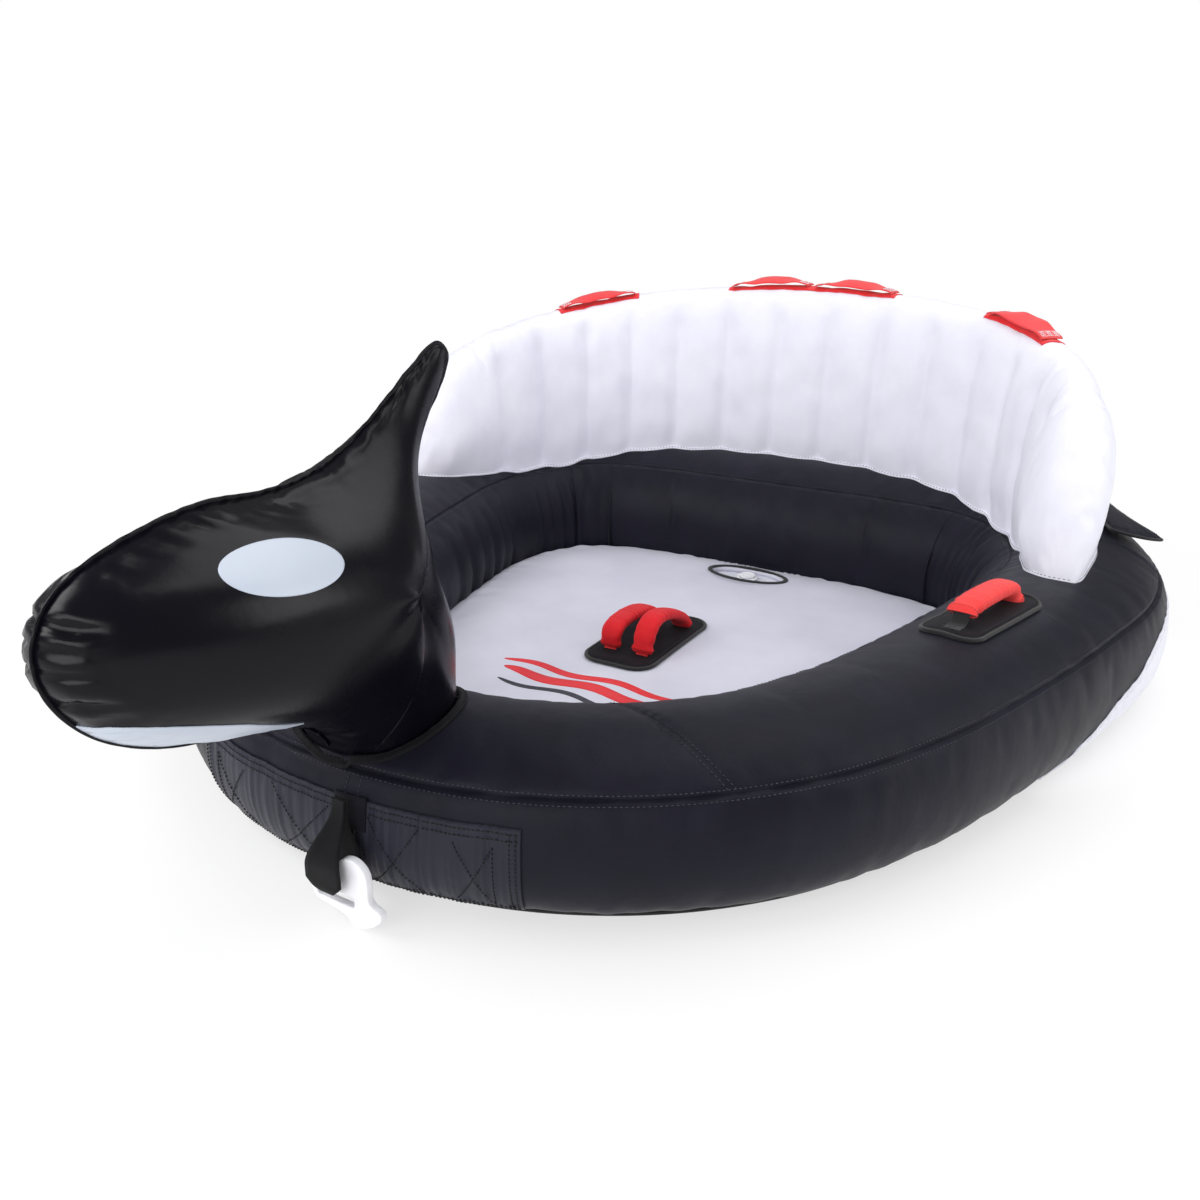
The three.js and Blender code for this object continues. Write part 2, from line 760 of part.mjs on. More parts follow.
function piping() {
  const round = spread(0, 2 * Math.PI, 4).slice(0, -1);
  return sweep(
    stations,
    (i, s) =>
      round.map((angle) => [
        bottomEdge(s) + PIPING_RADIUS * Math.cos(angle),
        PIPING_RADIUS + 0.5 + PIPING_RADIUS * Math.sin(angle),
      ]),
    true,
  );
}
piece("bottom_piping", piping(), "blackWebbing");

// Skin of patch material that lies on the outer half of the cover, inside a tool solid.
function coverPatch(tool, gap = PATCH.gap, thickness = PATCH.thickness) {
  const skin = toSolid(ringSolid(-gap - thickness, UNDER_GROUND));
  const under = toSolid(ringSolid(-gap, FAR_UNDER));
  const inboard = toSolid(extrude(polygonShape(stations.map(({ origin }) => [origin.x, origin.y])), 400));
  return toGeometry(mainBody(skin.subtract(under).subtract(inboard).intersect(toSolid(tool))));
}

// White panels low on the rear quarters, drawn out to a thin strip towards the front.
function hullPatch() {
  const shape = new THREE.Shape();
  shape.moveTo(HULL.frontY, HULL.low);
  shape.lineTo(HULL.rearY, HULL.low);
  shape.lineTo(HULL.rearY, HULL.high);
  shape.lineTo(HULL_RISE.shoulderY, HULL.high);
  shape.quadraticCurveTo(...HULL_RISE.upper, ...HULL_RISE.knee);
  shape.quadraticCurveTo(...HULL_RISE.lower, HULL_RISE.stripY, HULL.low + HULL.strip);
  shape.lineTo(HULL.frontY, HULL.low + HULL.strip);
  const tool = extrude(shape, 1000, 8);
  return coverPatch(tool.rotateX(Math.PI / 2).rotateZ(Math.PI / 2));
}

// Double-stitched nylon panels that spread the tow load over the front of the outer band.
function towReinforcement(side) {
  const { gap, outer, low, high } = TOW_PANEL;
  const from = side > 0 ? TOW.x + gap : -outer;
  const to = side > 0 ? outer : TOW.x - gap;
  const tool = new THREE.BoxGeometry(to - from, 500, high - low);
  return coverPatch(tool.translate((from + to) / 2, frontY, (low + high) / 2));
}

for (const [side, sign] of SIDES) {
  const patch = hullPatch();
  piece("hull_patch_" + side, sign > 0 ? patch : mirrored(patch), "whiteNylon");
  piece("tow_reinforcement_" + side, towReinforcement(sign), "darkNylon");
}

function neckHem() {
  const outside = toSolid(scaledAboutNeck(head, NECK.hemOuter));
  const inside = toSolid(scaledAboutNeck(head, NECK.hemInner));
  const above = toSolid(ringSolid(-PATCH.gap - NECK.hemHeight, UNDER_GROUND));
  const below = toSolid(ringSolid(-STRAP.gap, FAR_UNDER));
  return toGeometry(mainBody(outside.subtract(inside).intersect(above).subtract(below)));
}
piece("neck_hem", neckHem(), "blackWebbing");

// ---------------------------------------------------------------- air bladders
function mainBladder() {
  const outer = ringSolid(BLADDER_DEPTH, FLOOR.bladderBase);
  const hollowTs = outlineTs.filter((t, i) => i % 2 === 0);
  const inner = ringSolid(BLADDER_DEPTH + BLADDER_WALL, FLOOR.bladderBase + BLADDER_WALL, hollowTs);
  return cut(outer, inner, valveHole(mainValveFrame));
}
piece("main_bladder", mainBladder(), "airVinyl");

function floorOutline() {
  const base = stations.map((s) => {
    const points = innerTs.map((t) => sectionPoint(s, t)[0]);
    const p = s.origin.clone().addScaledVector(s.side, Math.min(...points) - FLOOR.inset);
    return [p.x, p.y];
  });
  return polygonShape(base);
}

function openingTool(grow, height) {
  const shape = new THREE.Shape();
  shape.absellipse(
    0,
    FLOOR_OPENING.y,
    FLOOR_OPENING.halfLength + grow,
    FLOOR_OPENING.halfWidth + grow,
    0,
    2 * Math.PI,
  );
  return extrude(shape, height);
}

const floorBladder = extrude(floorOutline(), FLOOR.bladderTop - FLOOR.bladderBase);
floorBladder.translate(0, 0, FLOOR.bladderBase);
piece("floor_bladder", cut(floorBladder, valveHole(floorValveFrame)), "airVinyl");

const floorCover = extrude(floorOutline(), FLOOR.coverTop - FLOOR.coverBase);
floorCover.translate(0, 0, FLOOR.coverBase);
piece("floor_cover", cut(floorCover, openingTool(0, FLOOR.coverTop * 2)), "floorVinyl");

const binding = openingTool(FLOOR_OPENING.bindingWidth, FLOOR_OPENING.bindingHeight);
binding.translate(0, 0, FLOOR.coverTop + RUN_CLEARANCE);
piece("floor_opening_binding", cut(binding, openingTool(0, FLOOR.coverTop * 2)), "blackWebbing");

// ---------------------------------------------------------------- whale head
const headFoot = ringSolid(BLADDER_DEPTH - PATCH.gap, 10 * UNDER_GROUND);
const groundSlab = new THREE.BoxGeometry(600, 600, 400).translate(0, NECK.y, -40);
piece("whale_head", cut(head, headFoot, groundSlab, valveHole(valveFrames.head)), "blackVinyl");

function headShell(tool) {
  const shell = toSolid(headShellOuter).subtract(toSolid(headShellInner));
  return toGeometry(mainBody(shell.intersect(toSolid(tool))));
}

function eyePatch() {
  const shape = new THREE.Shape();
  shape.absellipse(0, 0, EYE.halfLength, EYE.halfHeight, 0, 2 * Math.PI);
  const tool = extrude(shape, 400, 16);
  tool.rotateZ(EYE.tilt).rotateX(Math.PI / 2).rotateZ(Math.PI / 2);
  return headShell(tool.translate(0, EYE.y, EYE.z));
}
const eye = eyePatch();
piece("eye_patch_port", eye, "paleVinyl");
piece("eye_patch_starboard", mirrored(eye), "paleVinyl");

function chinPanel() {
  const rear = CHIN_EDGE[CHIN_EDGE.length - 1][0];
  const outline = [...CHIN_EDGE, [rear, CHIN_LOW], [CHIN_EDGE[0][0], CHIN_LOW]];
  const tool = extrude(polygonShape(outline), 500);
  tool.translate(0, 0, -250).rotateX(Math.PI / 2).rotateZ(Math.PI / 2);
  return headShell(tool);
}
piece("chin_panel", chinPanel(), "paleVinyl");

// ---------------------------------------------------------------- backrest
const backrestOuter = backrestSolid(0);
const backrestInner = backrestSolid(BACKREST.skin);
const backrestAir = backrestSolid(BACKREST.skin + BACKREST.bladderGap);
const backrestHole = valveHole(valveFrames.backrest);
piece("backrest_cover", cut(backrestOuter, backrestInner, ringEnvelope, backrestHole), "whiteNylon");
const bladderEnvelope = ringSolid(-2 * PATCH.gap, UNDER_GROUND);
piece("backrest_bladder", cut(backrestAir, bladderEnvelope, backrestHole), "airVinyl");

const strapOffsets = [-STRAP.outerOffset, -STRAP.innerOffset, STRAP.innerOffset, STRAP.outerOffset];

// A strap is a flat strip along the crest with a loose arch over it that flops to either side.
function strapFrame(offset) {
  const middle = backrestLength / 2 + offset;
  const a = backrestFrame(middle - STRAP.half);
  const b = backrestFrame(middle + STRAP.half);
  a.origin.z = crestAt(middle - STRAP.half);
  b.origin.z = crestAt(middle + STRAP.half);
  const peak = backrestFrame(middle);
  peak.origin.z = crestAt(middle);
  const along = b.origin.clone().sub(a.origin).normalize();
  const side = new THREE.Vector3().crossVectors(along, UP).normalize();
  const up = new THREE.Vector3().crossVectors(side, along);
  const chord = a.origin.clone().add(b.origin).multiplyScalar(0.5);
  const crown = peak.origin.clone().sub(chord).dot(up);
  return { chord, along, side, up, crown, middle };
}

function strapBase(offset) {
  const { middle } = strapFrame(offset);
  const reach = STRAP.half + STRAP.footInset;
  const places = spread(middle - reach, middle + reach, 8);
  const frames = places.map(backrestFrame);
  const half = STRAP.width / 2;
  return sweep(frames, (i) => {
    const low = crestAt(places[i]) + STRAP.gap;
    const high = low + STRAP.thickness;
    return [
      [-half, low],
      [half, low],
      [half, high],
      [-half, high],
    ];
  });
}

function strapArch(offset) {
  const { chord, along, side, up, crown } = strapFrame(offset);
  const lift = STRAP.thickness + STRAP.axisHeight;
  const shares = spread(-1, 1, 10);
  const frames = shares.map((x) => ({
    origin: chord
      .clone()
      .addScaledVector(along, x * (STRAP.half - STRAP.footInset))
      .addScaledVector(up, lift + (crown + STRAP.rise) * (1 - x * x)),
    side,
    up,
  }));
  return sweep(frames, (i) => {
    const half = THREE.MathUtils.lerp(STRAP.width / 2, STRAP.footHalfWidth, Math.abs(shares[i]) ** 4);
    const thin = STRAP.thickness / 2;
    return [
      [-half, -thin],
      [half, -thin],
      [half, thin],
      [-half, thin],
    ];
  });
}

strapOffsets.forEach((offset, i) => {
  piece("backrest_strap_base_" + (i + 1), strapBase(offset), "redWebbing");
  piece("backrest_strap_" + (i + 1), strapArch(offset), "redWebbing");
});

// ---------------------------------------------------------------- grab handles
// Arch of a grip in its own frame: x along the swing axis, z away from the pad.
function archFrames(halfSpan, rise, from, to, steps) {
  const power = 2 / GRIP_SQUARENESS;
  return spread(from, to, steps).map((share) => {
    const angle = Math.PI * (1 - share);
    const c = Math.cos(angle);
    const s = Math.sin(angle);
    const origin = new THREE.Vector3(
      halfSpan * Math.sign(c) * Math.abs(c) ** power,
      0,
      rise * Math.abs(s) ** power,
    );
    const up = new THREE.Vector3(
      Math.sign(c) * Math.abs(c) ** (2 - power) * rise,
      0,
      Math.abs(s) ** (2 - power) * halfSpan,
    ).normalize();
    return { origin, side: new THREE.Vector3(0, 1, 0), up };
  });
}

function ovalSection(halfWidth, halfHeight, points = 8) {
  return spread(0, 2 * Math.PI, points)
    .slice(0, -1)
    .map((angle) => {
      const c = Math.cos(angle);
      const s = Math.sin(angle);
      const square = 0.7;
      return [
        halfWidth * Math.sign(c) * Math.abs(c) ** square,
        halfHeight * Math.sign(s) * Math.abs(s) ** square,
      ];
    });
}

const flatSection = (width, thickness) => [
  [-width / 2, -thickness / 2],
  [width / 2, -thickness / 2],
  [width / 2, thickness / 2],
  [-width / 2, thickness / 2],
];

function gripPair({ halfSpan, rise, webWidth, sleeveWidth, sleeveThickness, sleeveFrom, steps }) {
  const whole = archFrames(halfSpan, rise, 0, 1, steps);
  const covered = archFrames(halfSpan, rise, sleeveFrom, 1 - sleeveFrom, steps);
  const webbing = sweep(whole, () => flatSection(webWidth, WEB_THICKNESS));
  const room = 4 * RUN_CLEARANCE;
  const hollow = sweep(whole, () => flatSection(webWidth + room, WEB_THICKNESS + room));
  const sleeve = sweep(covered, () => ovalSection(sleeveWidth / 2, sleeveThickness / 2));
  return { webbing, sleeve: cut(sleeve, hollow) };
}

function sideHandle(side, sign) {
  const station = stationAtY(SIDE_HANDLE.y);
  const t = topTs[0] + (topTs[topTs.length - 1] - topTs[0]) * 0.5;
  const frame = coverFrame(station, t, PATCH.gap);
  const onPad = (along, across, offset) => {
    const stationLength = coverPoint(station, t, 0).distanceTo(coverPoint(station + 1, t, 0));
    const outlineLength = coverPoint(station, t - 0.01, 0).distanceTo(coverPoint(station, t + 0.01, 0)) / 0.02;
    return coverPoint(station + along / stationLength, t - across / outlineLength, offset);
  };
  const { corner } = SIDE_HANDLE;
  const pad = slab(
    spread(-1, 1, 8),
    spread(-1, 1, 4),
    (a, b, offset) => {
      const along = a * SIDE_HANDLE.halfLength;
      const overEnd = Math.max(Math.abs(along) - (SIDE_HANDLE.halfLength - corner), 0);
      const half = SIDE_HANDLE.halfWidth - corner + Math.sqrt(Math.max(corner ** 2 - overEnd ** 2, 0));
      return onPad(along, SIDE_HANDLE.out + b * half, offset);
    },
    SIDE_HANDLE.gap,
    SIDE_HANDLE.gap + SIDE_HANDLE.thickness,
  );
  const foot = (along) => onPad(along, SIDE_HANDLE.out, SIDE_HANDLE.gap + SIDE_HANDLE.thickness + GRIP_AXIS_HEIGHT);
  const rear = foot(SIDE_GRIP.halfSpan);
  const front = foot(-SIDE_GRIP.halfSpan);
  const along = rear.clone().sub(front).normalize();
  const up = frame.normal.clone().projectOnPlane(along).normalize();
  const across = new THREE.Vector3().crossVectors(up, along);
  const matrix = new THREE.Matrix4().makeBasis(along, across, up);
  matrix.setPosition(front.clone().add(rear).multiplyScalar(0.5));
  const { webbing, sleeve } = gripPair(SIDE_GRIP);
  const seat = (geometry) => {
    const seated = geometry.applyMatrix4(matrix);
    return sign > 0 ? seated : mirrored(seated);
  };
  piece("side_handle_pad_" + side, sign > 0 ? pad : mirrored(pad), "blackWebbing");
  piece("side_handle_webbing_" + side, seat(webbing), "blackWebbing");
  piece("side_handle_grip_" + side, seat(sleeve), "redSleeve");
}
SIDES.forEach(([side, sign]) => sideHandle(side, sign));

const centrePad = extrude(
  roundedRectangle(CENTRE_PAD.halfWidth, CENTRE_PAD.halfLength, CENTRE_PAD.corner),
  CENTRE_PAD.thickness,
  6,
);
const centrePadBase = FLOOR.coverTop + RUN_CLEARANCE;
piece("centre_handle_pad", centrePad.translate(0, CENTRE_PAD.y, centrePadBase), "blackWebbing");

function centreHandle(side, sign) {
  const { webbing, sleeve } = gripPair(CENTRE_GRIP);
  const group = new THREE.Group();
  group.rotation.z = Math.PI / 2;
  const axisZ = centrePadBase + CENTRE_PAD.thickness + GRIP_AXIS_HEIGHT;
  group.position.set(sign * CENTRE_GRIP.x, CENTRE_PAD.y, axisZ);
  tube.add(group);
  piece("centre_handle_webbing_" + side, webbing, "blackWebbing", group);
  piece("centre_handle_grip_" + side, sleeve, "redSleeve", group);
}
SIDES.forEach(([side, sign]) => centreHandle(side, sign));

// ---------------------------------------------------------------- tow strap and hook
const anchorTool = new THREE.BoxGeometry(TOW.width, 500, TOW_ANCHOR.high - TOW_ANCHOR.low);
anchorTool.translate(TOW.x, frontY, (TOW_ANCHOR.high + TOW_ANCHOR.low) / 2);
const anchorGap = PATCH.gap + PATCH.thickness + RUN_CLEARANCE;
piece("tow_anchor", coverPatch(anchorTool, anchorGap, TOW.web), "blackWebbing");

// Side view of the strap loop as [y, z]: its two layers part over the hook and meet at the pivot.
function towLoop() {
  const loop = (grow) => {
    const shape = new THREE.Shape();
    const bottom = TOW.loopBottom + TOW.web + TOW.loopHalfGap;
    const half = TOW.loopHalfGap + grow;
    shape.absarc(TOW.loopY, bottom, half, Math.PI, 2 * Math.PI);
    const round = TOW.eyeRadius + grow;
    shape.lineTo(TOW.loopY + half, TOW.partedZ);
    shape.lineTo(TOW.pivotY + round, TOW.pivotZ - TOW.closedDrop);
    shape.absarc(TOW.pivotY, TOW.pivotZ - TOW.eyeDrop, round, 0, Math.PI);
    shape.lineTo(TOW.loopY - half, TOW.partedZ);
    return shape;
  };
  const stand = (shape, width) => {
    const solid = extrude(shape, width, 6).translate(0, 0, -width / 2);
    return solid.rotateX(Math.PI / 2).rotateZ(Math.PI / 2);
  };
  const strap = cut(stand(loop(TOW.web), TOW.width), stand(loop(0), TOW.width + 4));
  return strap.translate(TOW.x, 0, 0);
}
piece("tow_strap", towLoop(), "blackWebbing");

// Flat plastic hook: a round tongue, a lobe on one side and an arm with the strap's eye on the other.
function towHook() {
  const shape = new THREE.Shape();
  shape.moveTo(-8, 12);
  shape.quadraticCurveTo(-6, 3, 4, 3);
  shape.quadraticCurveTo(30, 8, 44, 26);
  shape.quadraticCurveTo(52, 38, 38, 42);
  shape.quadraticCurveTo(26, 44, 26, 56);
  shape.absarc(0, 78, 26, 0, Math.PI);
  shape.quadraticCurveTo(-30, 62, -58, 60);
  shape.quadraticCurveTo(-74, 58, -72, 40);
  shape.quadraticCurveTo(-70, 26, -54, 24);
  shape.quadraticCurveTo(-24, 22, -8, 12);
  const { eyeFrom, eyeTo, eyeLow, eyeHigh, eyeRound } = HOOK;
  const eye = new THREE.Path();
  eye.absarc(eyeTo - eyeRound, eyeLow + eyeRound, eyeRound, -Math.PI / 2, 0);
  eye.absarc(eyeTo - eyeRound, eyeHigh - eyeRound, eyeRound, 0, Math.PI / 2);
  eye.absarc(eyeFrom + eyeRound, eyeHigh - eyeRound, eyeRound, Math.PI / 2, Math.PI);
  eye.absarc(eyeFrom + eyeRound, eyeLow + eyeRound, eyeRound, Math.PI, Math.PI * 1.5);
  shape.holes.push(eye);
  const hook = extrude(shape, HOOK.thickness, 5).rotateX(Math.PI / 2);
  return hook.translate(TOW.x + HOOK.offset, TOW.loopY + HOOK.thickness / 2, 0);
}
piece("tow_hook", towHook(), "whitePlastic");

// ---------------------------------------------------------------- zip
const zipTool = new THREE.BoxGeometry(2 * ZIP.halfLength, 500, 2 * ZIP.halfWidth);
zipTool.translate(0, rearY, ZIP.z);
piece("zip_tape", coverPatch(zipTool), "blackWebbing");

// Frame on the tape's outer face at x, its local y running down the cover.
function zipFrame(x) {
  const rear = RING_STATIONS / 2;
  const upperFacet = outerTs.slice(-2);
  const [low, high] = upperFacet.map((t) => coverPoint(rear, t, PATCH.gap + PATCH.thickness));
  const origin = low.clone().lerp(high, (ZIP.z - low.z) / (high.z - low.z)).setX(x);
  const across = new THREE.Vector3(1, 0, 0);
  const normal = new THREE.Vector3().crossVectors(across, high.sub(low)).normalize().negate();
  if (normal.y < 0) normal.negate();
  return { origin, normal, across };
}

const sliderFrame = zipFrame(ZIP.sliderX);
const sliderBody = new THREE.BoxGeometry(SLIDER.length, SLIDER.width, SLIDER.height);
sliderBody.translate(0, 0, RUN_CLEARANCE + SLIDER.height / 2);
const sliderBridge = new THREE.BoxGeometry(...SLIDER.bridge);
sliderBridge.translate(0, SLIDER.bridgeY, RUN_CLEARANCE + SLIDER.bridge[2]);
piece("zip_slider", place(join(sliderBody, sliderBridge), sliderFrame), "zipPlastic");
const pull = new THREE.BoxGeometry(PULL.width, PULL.length, PULL.thickness);
pull.translate(0, PULL.hang, 2 * RUN_CLEARANCE + PULL.stand);
piece("zip_pull", place(pull, sliderFrame), "zipPlastic");

// ---------------------------------------------------------------- tail flukes
function fluke() {
  const shape = new THREE.Shape();
  shape.moveTo(...FLUKE.rootFront);
  shape.quadraticCurveTo(834, 384, 862, 428);
  shape.quadraticCurveTo(792, 520, 742, 640);
  shape.quadraticCurveTo(700, 700, ...FLUKE.rootRear);
  shape.lineTo(...FLUKE.rootFront);
  const root = new THREE.Vector3(...FLUKE.rootFront, 0);
  const axis = new THREE.Vector3(...FLUKE.rootRear, 0).sub(root).normalize();
  const droop = new THREE.Matrix4().makeRotationAxis(axis, FLUKE.droop);
  const solid = extrude(shape, FLUKE.thickness, 8).translate(-root.x, -root.y, 0);
  return solid.applyMatrix4(droop).translate(root.x, root.y, FLUKE.base);
}
const portFluke = fluke();
piece("tail_fluke_port", portFluke, "darkNylon");
piece(
  "tail_fluke_starboard",
  mirrored(mergeVertices(portFluke.clone().deleteAttribute("uv").deleteAttribute("normal"))),
  "darkNylon",
);

export default tube;
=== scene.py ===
"""Looks of a ride-in towable tube: a covered air ring, an air floor, a curved backrest, a whale head,
tail flukes, handles, valves, a zip and a tow strap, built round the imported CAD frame. Metres."""

import json
import math

import bmesh
import bpy
import numpy as np
from mathutils import Matrix, Vector
from mathutils.bvhtree import BVHTree


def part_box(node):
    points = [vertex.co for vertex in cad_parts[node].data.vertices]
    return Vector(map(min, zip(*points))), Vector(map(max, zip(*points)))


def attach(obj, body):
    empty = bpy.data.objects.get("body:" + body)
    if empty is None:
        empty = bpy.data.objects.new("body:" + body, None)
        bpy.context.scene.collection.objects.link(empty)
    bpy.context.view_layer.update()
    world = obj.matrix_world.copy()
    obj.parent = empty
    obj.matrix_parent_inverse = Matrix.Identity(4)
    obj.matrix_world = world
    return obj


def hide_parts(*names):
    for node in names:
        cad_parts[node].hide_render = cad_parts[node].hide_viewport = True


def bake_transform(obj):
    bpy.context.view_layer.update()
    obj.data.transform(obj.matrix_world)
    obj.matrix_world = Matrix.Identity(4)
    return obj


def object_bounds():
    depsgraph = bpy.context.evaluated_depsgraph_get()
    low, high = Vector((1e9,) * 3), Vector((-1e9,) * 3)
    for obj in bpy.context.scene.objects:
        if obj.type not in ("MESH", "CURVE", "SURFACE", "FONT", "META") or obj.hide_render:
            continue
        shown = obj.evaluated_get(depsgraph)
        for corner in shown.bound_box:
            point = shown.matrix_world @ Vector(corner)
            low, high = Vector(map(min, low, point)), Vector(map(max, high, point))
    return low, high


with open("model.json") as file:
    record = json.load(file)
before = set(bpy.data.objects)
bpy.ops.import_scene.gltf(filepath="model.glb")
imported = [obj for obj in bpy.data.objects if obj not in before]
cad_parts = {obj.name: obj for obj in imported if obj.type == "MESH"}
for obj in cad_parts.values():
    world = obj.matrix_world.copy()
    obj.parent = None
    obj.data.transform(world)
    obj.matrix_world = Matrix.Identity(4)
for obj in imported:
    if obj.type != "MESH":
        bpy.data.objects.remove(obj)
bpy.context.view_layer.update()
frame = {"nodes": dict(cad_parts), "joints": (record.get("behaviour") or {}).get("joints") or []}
ROOT = "tube"
SIDES = (("port", 1.0), ("starboard", -1.0))
JOINTS = {joint["name"]: joint for joint in frame["joints"]}


# ------------------------------------------------------------------ numbers and curves
def unit(v):
    v = np.asarray(v, float)
    return v / np.maximum(np.linalg.norm(v, axis=-1, keepdims=True), 1e-12)


def smooth(low, high, x):
    t = np.clip((np.asarray(x, float) - low) / (high - low), 0.0, 1.0)
    return t * t * (3.0 - 2.0 * t)


def node_box(name):
    low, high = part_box(name)
    return np.array(low), np.array(high)


def catmull(points, closed, per_segment=60):
    """Centripetal Catmull-Rom curve through the points, as a dense polyline."""
    p = np.asarray(points, float)
    count = len(p)
    if not closed:
        p = np.vstack([2 * p[0] - p[1], p, 2 * p[-1] - p[-2]])
    spans = count if closed else count - 1
    s = np.linspace(0.0, 1.0, per_segment, endpoint=False)[:, None]
    parts = []
    for i in range(spans):
        if closed:
            a, b, c, d = (p[(i + k) % count] for k in (-1, 0, 1, 2))
        else:
            a, b, c, d = p[i : i + 4]
        ta, tb, tc = (max(np.linalg.norm(q - r), 1e-9) ** 0.5 for q, r in ((b, a), (c, b), (d, c)))
        m0 = ((b - a) / ta - (c - a) / (ta + tb) + (c - b) / tb) * tb
        m1 = ((c - b) / tb - (d - b) / (tb + tc) + (d - c) / tc) * tb
        parts.append(b + m0 * s + (3 * (c - b) - 2 * m0 - m1) * s**2 + (2 * (b - c) + m0 + m1) * s**3)
    if not closed:
        parts.append(p[-2][None, :])
    return np.vstack(parts)


class Path:
    """A polyline measured by its length, sampled at shares from 0 to 1."""

    def __init__(self, points, closed=False):
        p = np.asarray(points, float)
        self.closed = closed
        if closed:
            p = np.vstack([p, p[:1]])
        steps = np.linalg.norm(np.diff(p, axis=0), axis=1)
        self.lengths = np.concatenate([[0.0], np.cumsum(steps)])
        self.length = self.lengths[-1]
        self.p = p

    def at(self, share):
        share = np.asarray(share, float)
        share = share % 1.0 if self.closed else np.clip(share, 0.0, 1.0)
        s = share * self.length
        return np.stack([np.interp(s, self.lengths, self.p[:, k]) for k in range(self.p.shape[1])], -1)

    def tangent(self, share, step=2e-3):
        share = np.asarray(share, float)
        return unit(self.at(share + step) - self.at(share - step))


def wave_noise(x, seed, count=7, low=1.0, high=6.0):
    """Smooth noise of period 1 over x, as a seeded sum of whole-number sine waves, about -1 to 1."""
    rng = np.random.default_rng(seed)
    frequencies = rng.integers(int(low), int(high) + 1, count)
    phases = rng.uniform(0, 2 * math.pi, count)
    total = sum(np.sin(2 * math.pi * f * np.asarray(x, float) + p) for f, p in zip(frequencies, phases))
    return total / math.sqrt(count)


# ------------------------------------------------------------------ meshes
def unwrapped(values, starts, totals):
    """Texture coordinates per face corner, with faces that span the closing seam carried over it."""
    period = values.max()
    spans = np.maximum.reduceat(values, starts) - np.minimum.reduceat(values, starts)
    torn = np.repeat(spans > 0.5 * period, totals)
    return np.where(torn & (values < 0.5 * period), values + period, values)


def bare_mesh(name, points, faces):
    mesh = bpy.data.meshes.new(name)
    mesh.from_pydata(np.asarray(points, float).reshape(-1, 3).tolist(), [], [list(f) for f in faces])
    mesh.update()
    obj = bpy.data.objects.new(name, mesh)
    bpy.context.scene.collection.objects.link(obj)
    return obj


def add_mesh(name, points, faces, finish, body=ROOT, uv=None, flat=False):
    obj = bare_mesh(name, points, faces)
    mesh = obj.data
    if uv is not None:
        loops = np.zeros(len(mesh.loops), np.int32)
        starts = np.zeros(len(mesh.polygons), np.int32)
        totals = np.zeros(len(mesh.polygons), np.int32)
        mesh.loops.foreach_get("vertex_index", loops)
        mesh.polygons.foreach_get("loop_start", starts)
        mesh.polygons.foreach_get("loop_total", totals)
        corners = np.asarray(uv, float).reshape(-1, 2)[loops]
        both = [unwrapped(corners[:, k], starts, totals) for k in (0, 1)]
        layer = mesh.uv_layers.new(name="UVMap")
        layer.data.foreach_set("uv", np.stack(both, -1).astype(np.float32).ravel())
    mesh.polygons.foreach_set("use_smooth", [not flat] * len(mesh.polygons))
    mesh.materials.append(MATERIALS[finish])
    if body:
        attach(obj, body)
    return obj


def grid_faces(nu, nv, closed_u=False, closed_v=False, start=0):
    i, j = np.meshgrid(
        np.arange(nu if closed_u else nu - 1), np.arange(nv if closed_v else nv - 1), indexing="ij"
    )
    i2, j2 = (i + 1) % nu, (j + 1) % nv
    quads = np.stack([i * nv + j, i2 * nv + j, i2 * nv + j2, i * nv + j2], -1)
    return quads.reshape(-1, 4) + start


def grid_normals(p, closed_u=False, closed_v=False):
    def slope(axis, closed):
        if closed:
            return np.roll(p, -1, axis) - np.roll(p, 1, axis)
        return np.gradient(p, axis=axis)

    return unit(np.cross(slope(0, closed_u), slope(1, closed_v)))


def grid_uv(p):
    """Texture coordinates in metres, along the rows and across them."""
    u = np.linalg.norm(np.diff(p, axis=0), axis=-1).mean(axis=1)
    v = np.linalg.norm(np.diff(p, axis=1), axis=-1).mean(axis=0)
    u = np.concatenate([[0.0], np.cumsum(u)])
    v = np.concatenate([[0.0], np.cumsum(v)])
    return np.stack(np.meshgrid(u, v, indexing="ij"), -1)


def facing(faces, flip):
    faces = np.asarray(faces)
    return faces[:, ::-1] if flip else faces


def add_slab(name, top, normal, thickness, material, body=ROOT):
    """A closed sheet: a grid of points, the same grid sunk along its normals, and walls round the edge."""
    nu, nv = top.shape[:2]
    under = top - normal * thickness
    upper = grid_faces(nu, nv)
    lower = grid_faces(nu, nv, start=nu * nv)[:, ::-1]
    rim = [i * nv for i in range(nu)] + [(nu - 1) * nv + j for j in range(1, nv)]
    rim += [i * nv + nv - 1 for i in range(nu - 2, -1, -1)] + list(range(nv - 2, 0, -1))
    walls = [
        (rim[(k + 1) % len(rim)], rim[k], rim[k] + nu * nv, rim[(k + 1) % len(rim)] + nu * nv)
        for k in range(len(rim))
    ]
    points = np.concatenate([top.reshape(-1, 3), under.reshape(-1, 3)])
    sample = np.cross(top[1, 0] - top[0, 0], top[0, 1] - top[0, 0]) @ normal[0, 0]
    faces = np.concatenate([upper, lower, np.array(walls)])
    uv = np.concatenate([grid_uv(top).reshape(-1, 2)] * 2)
    return add_mesh(name, points, facing(faces, sample < 0), material, body, uv)


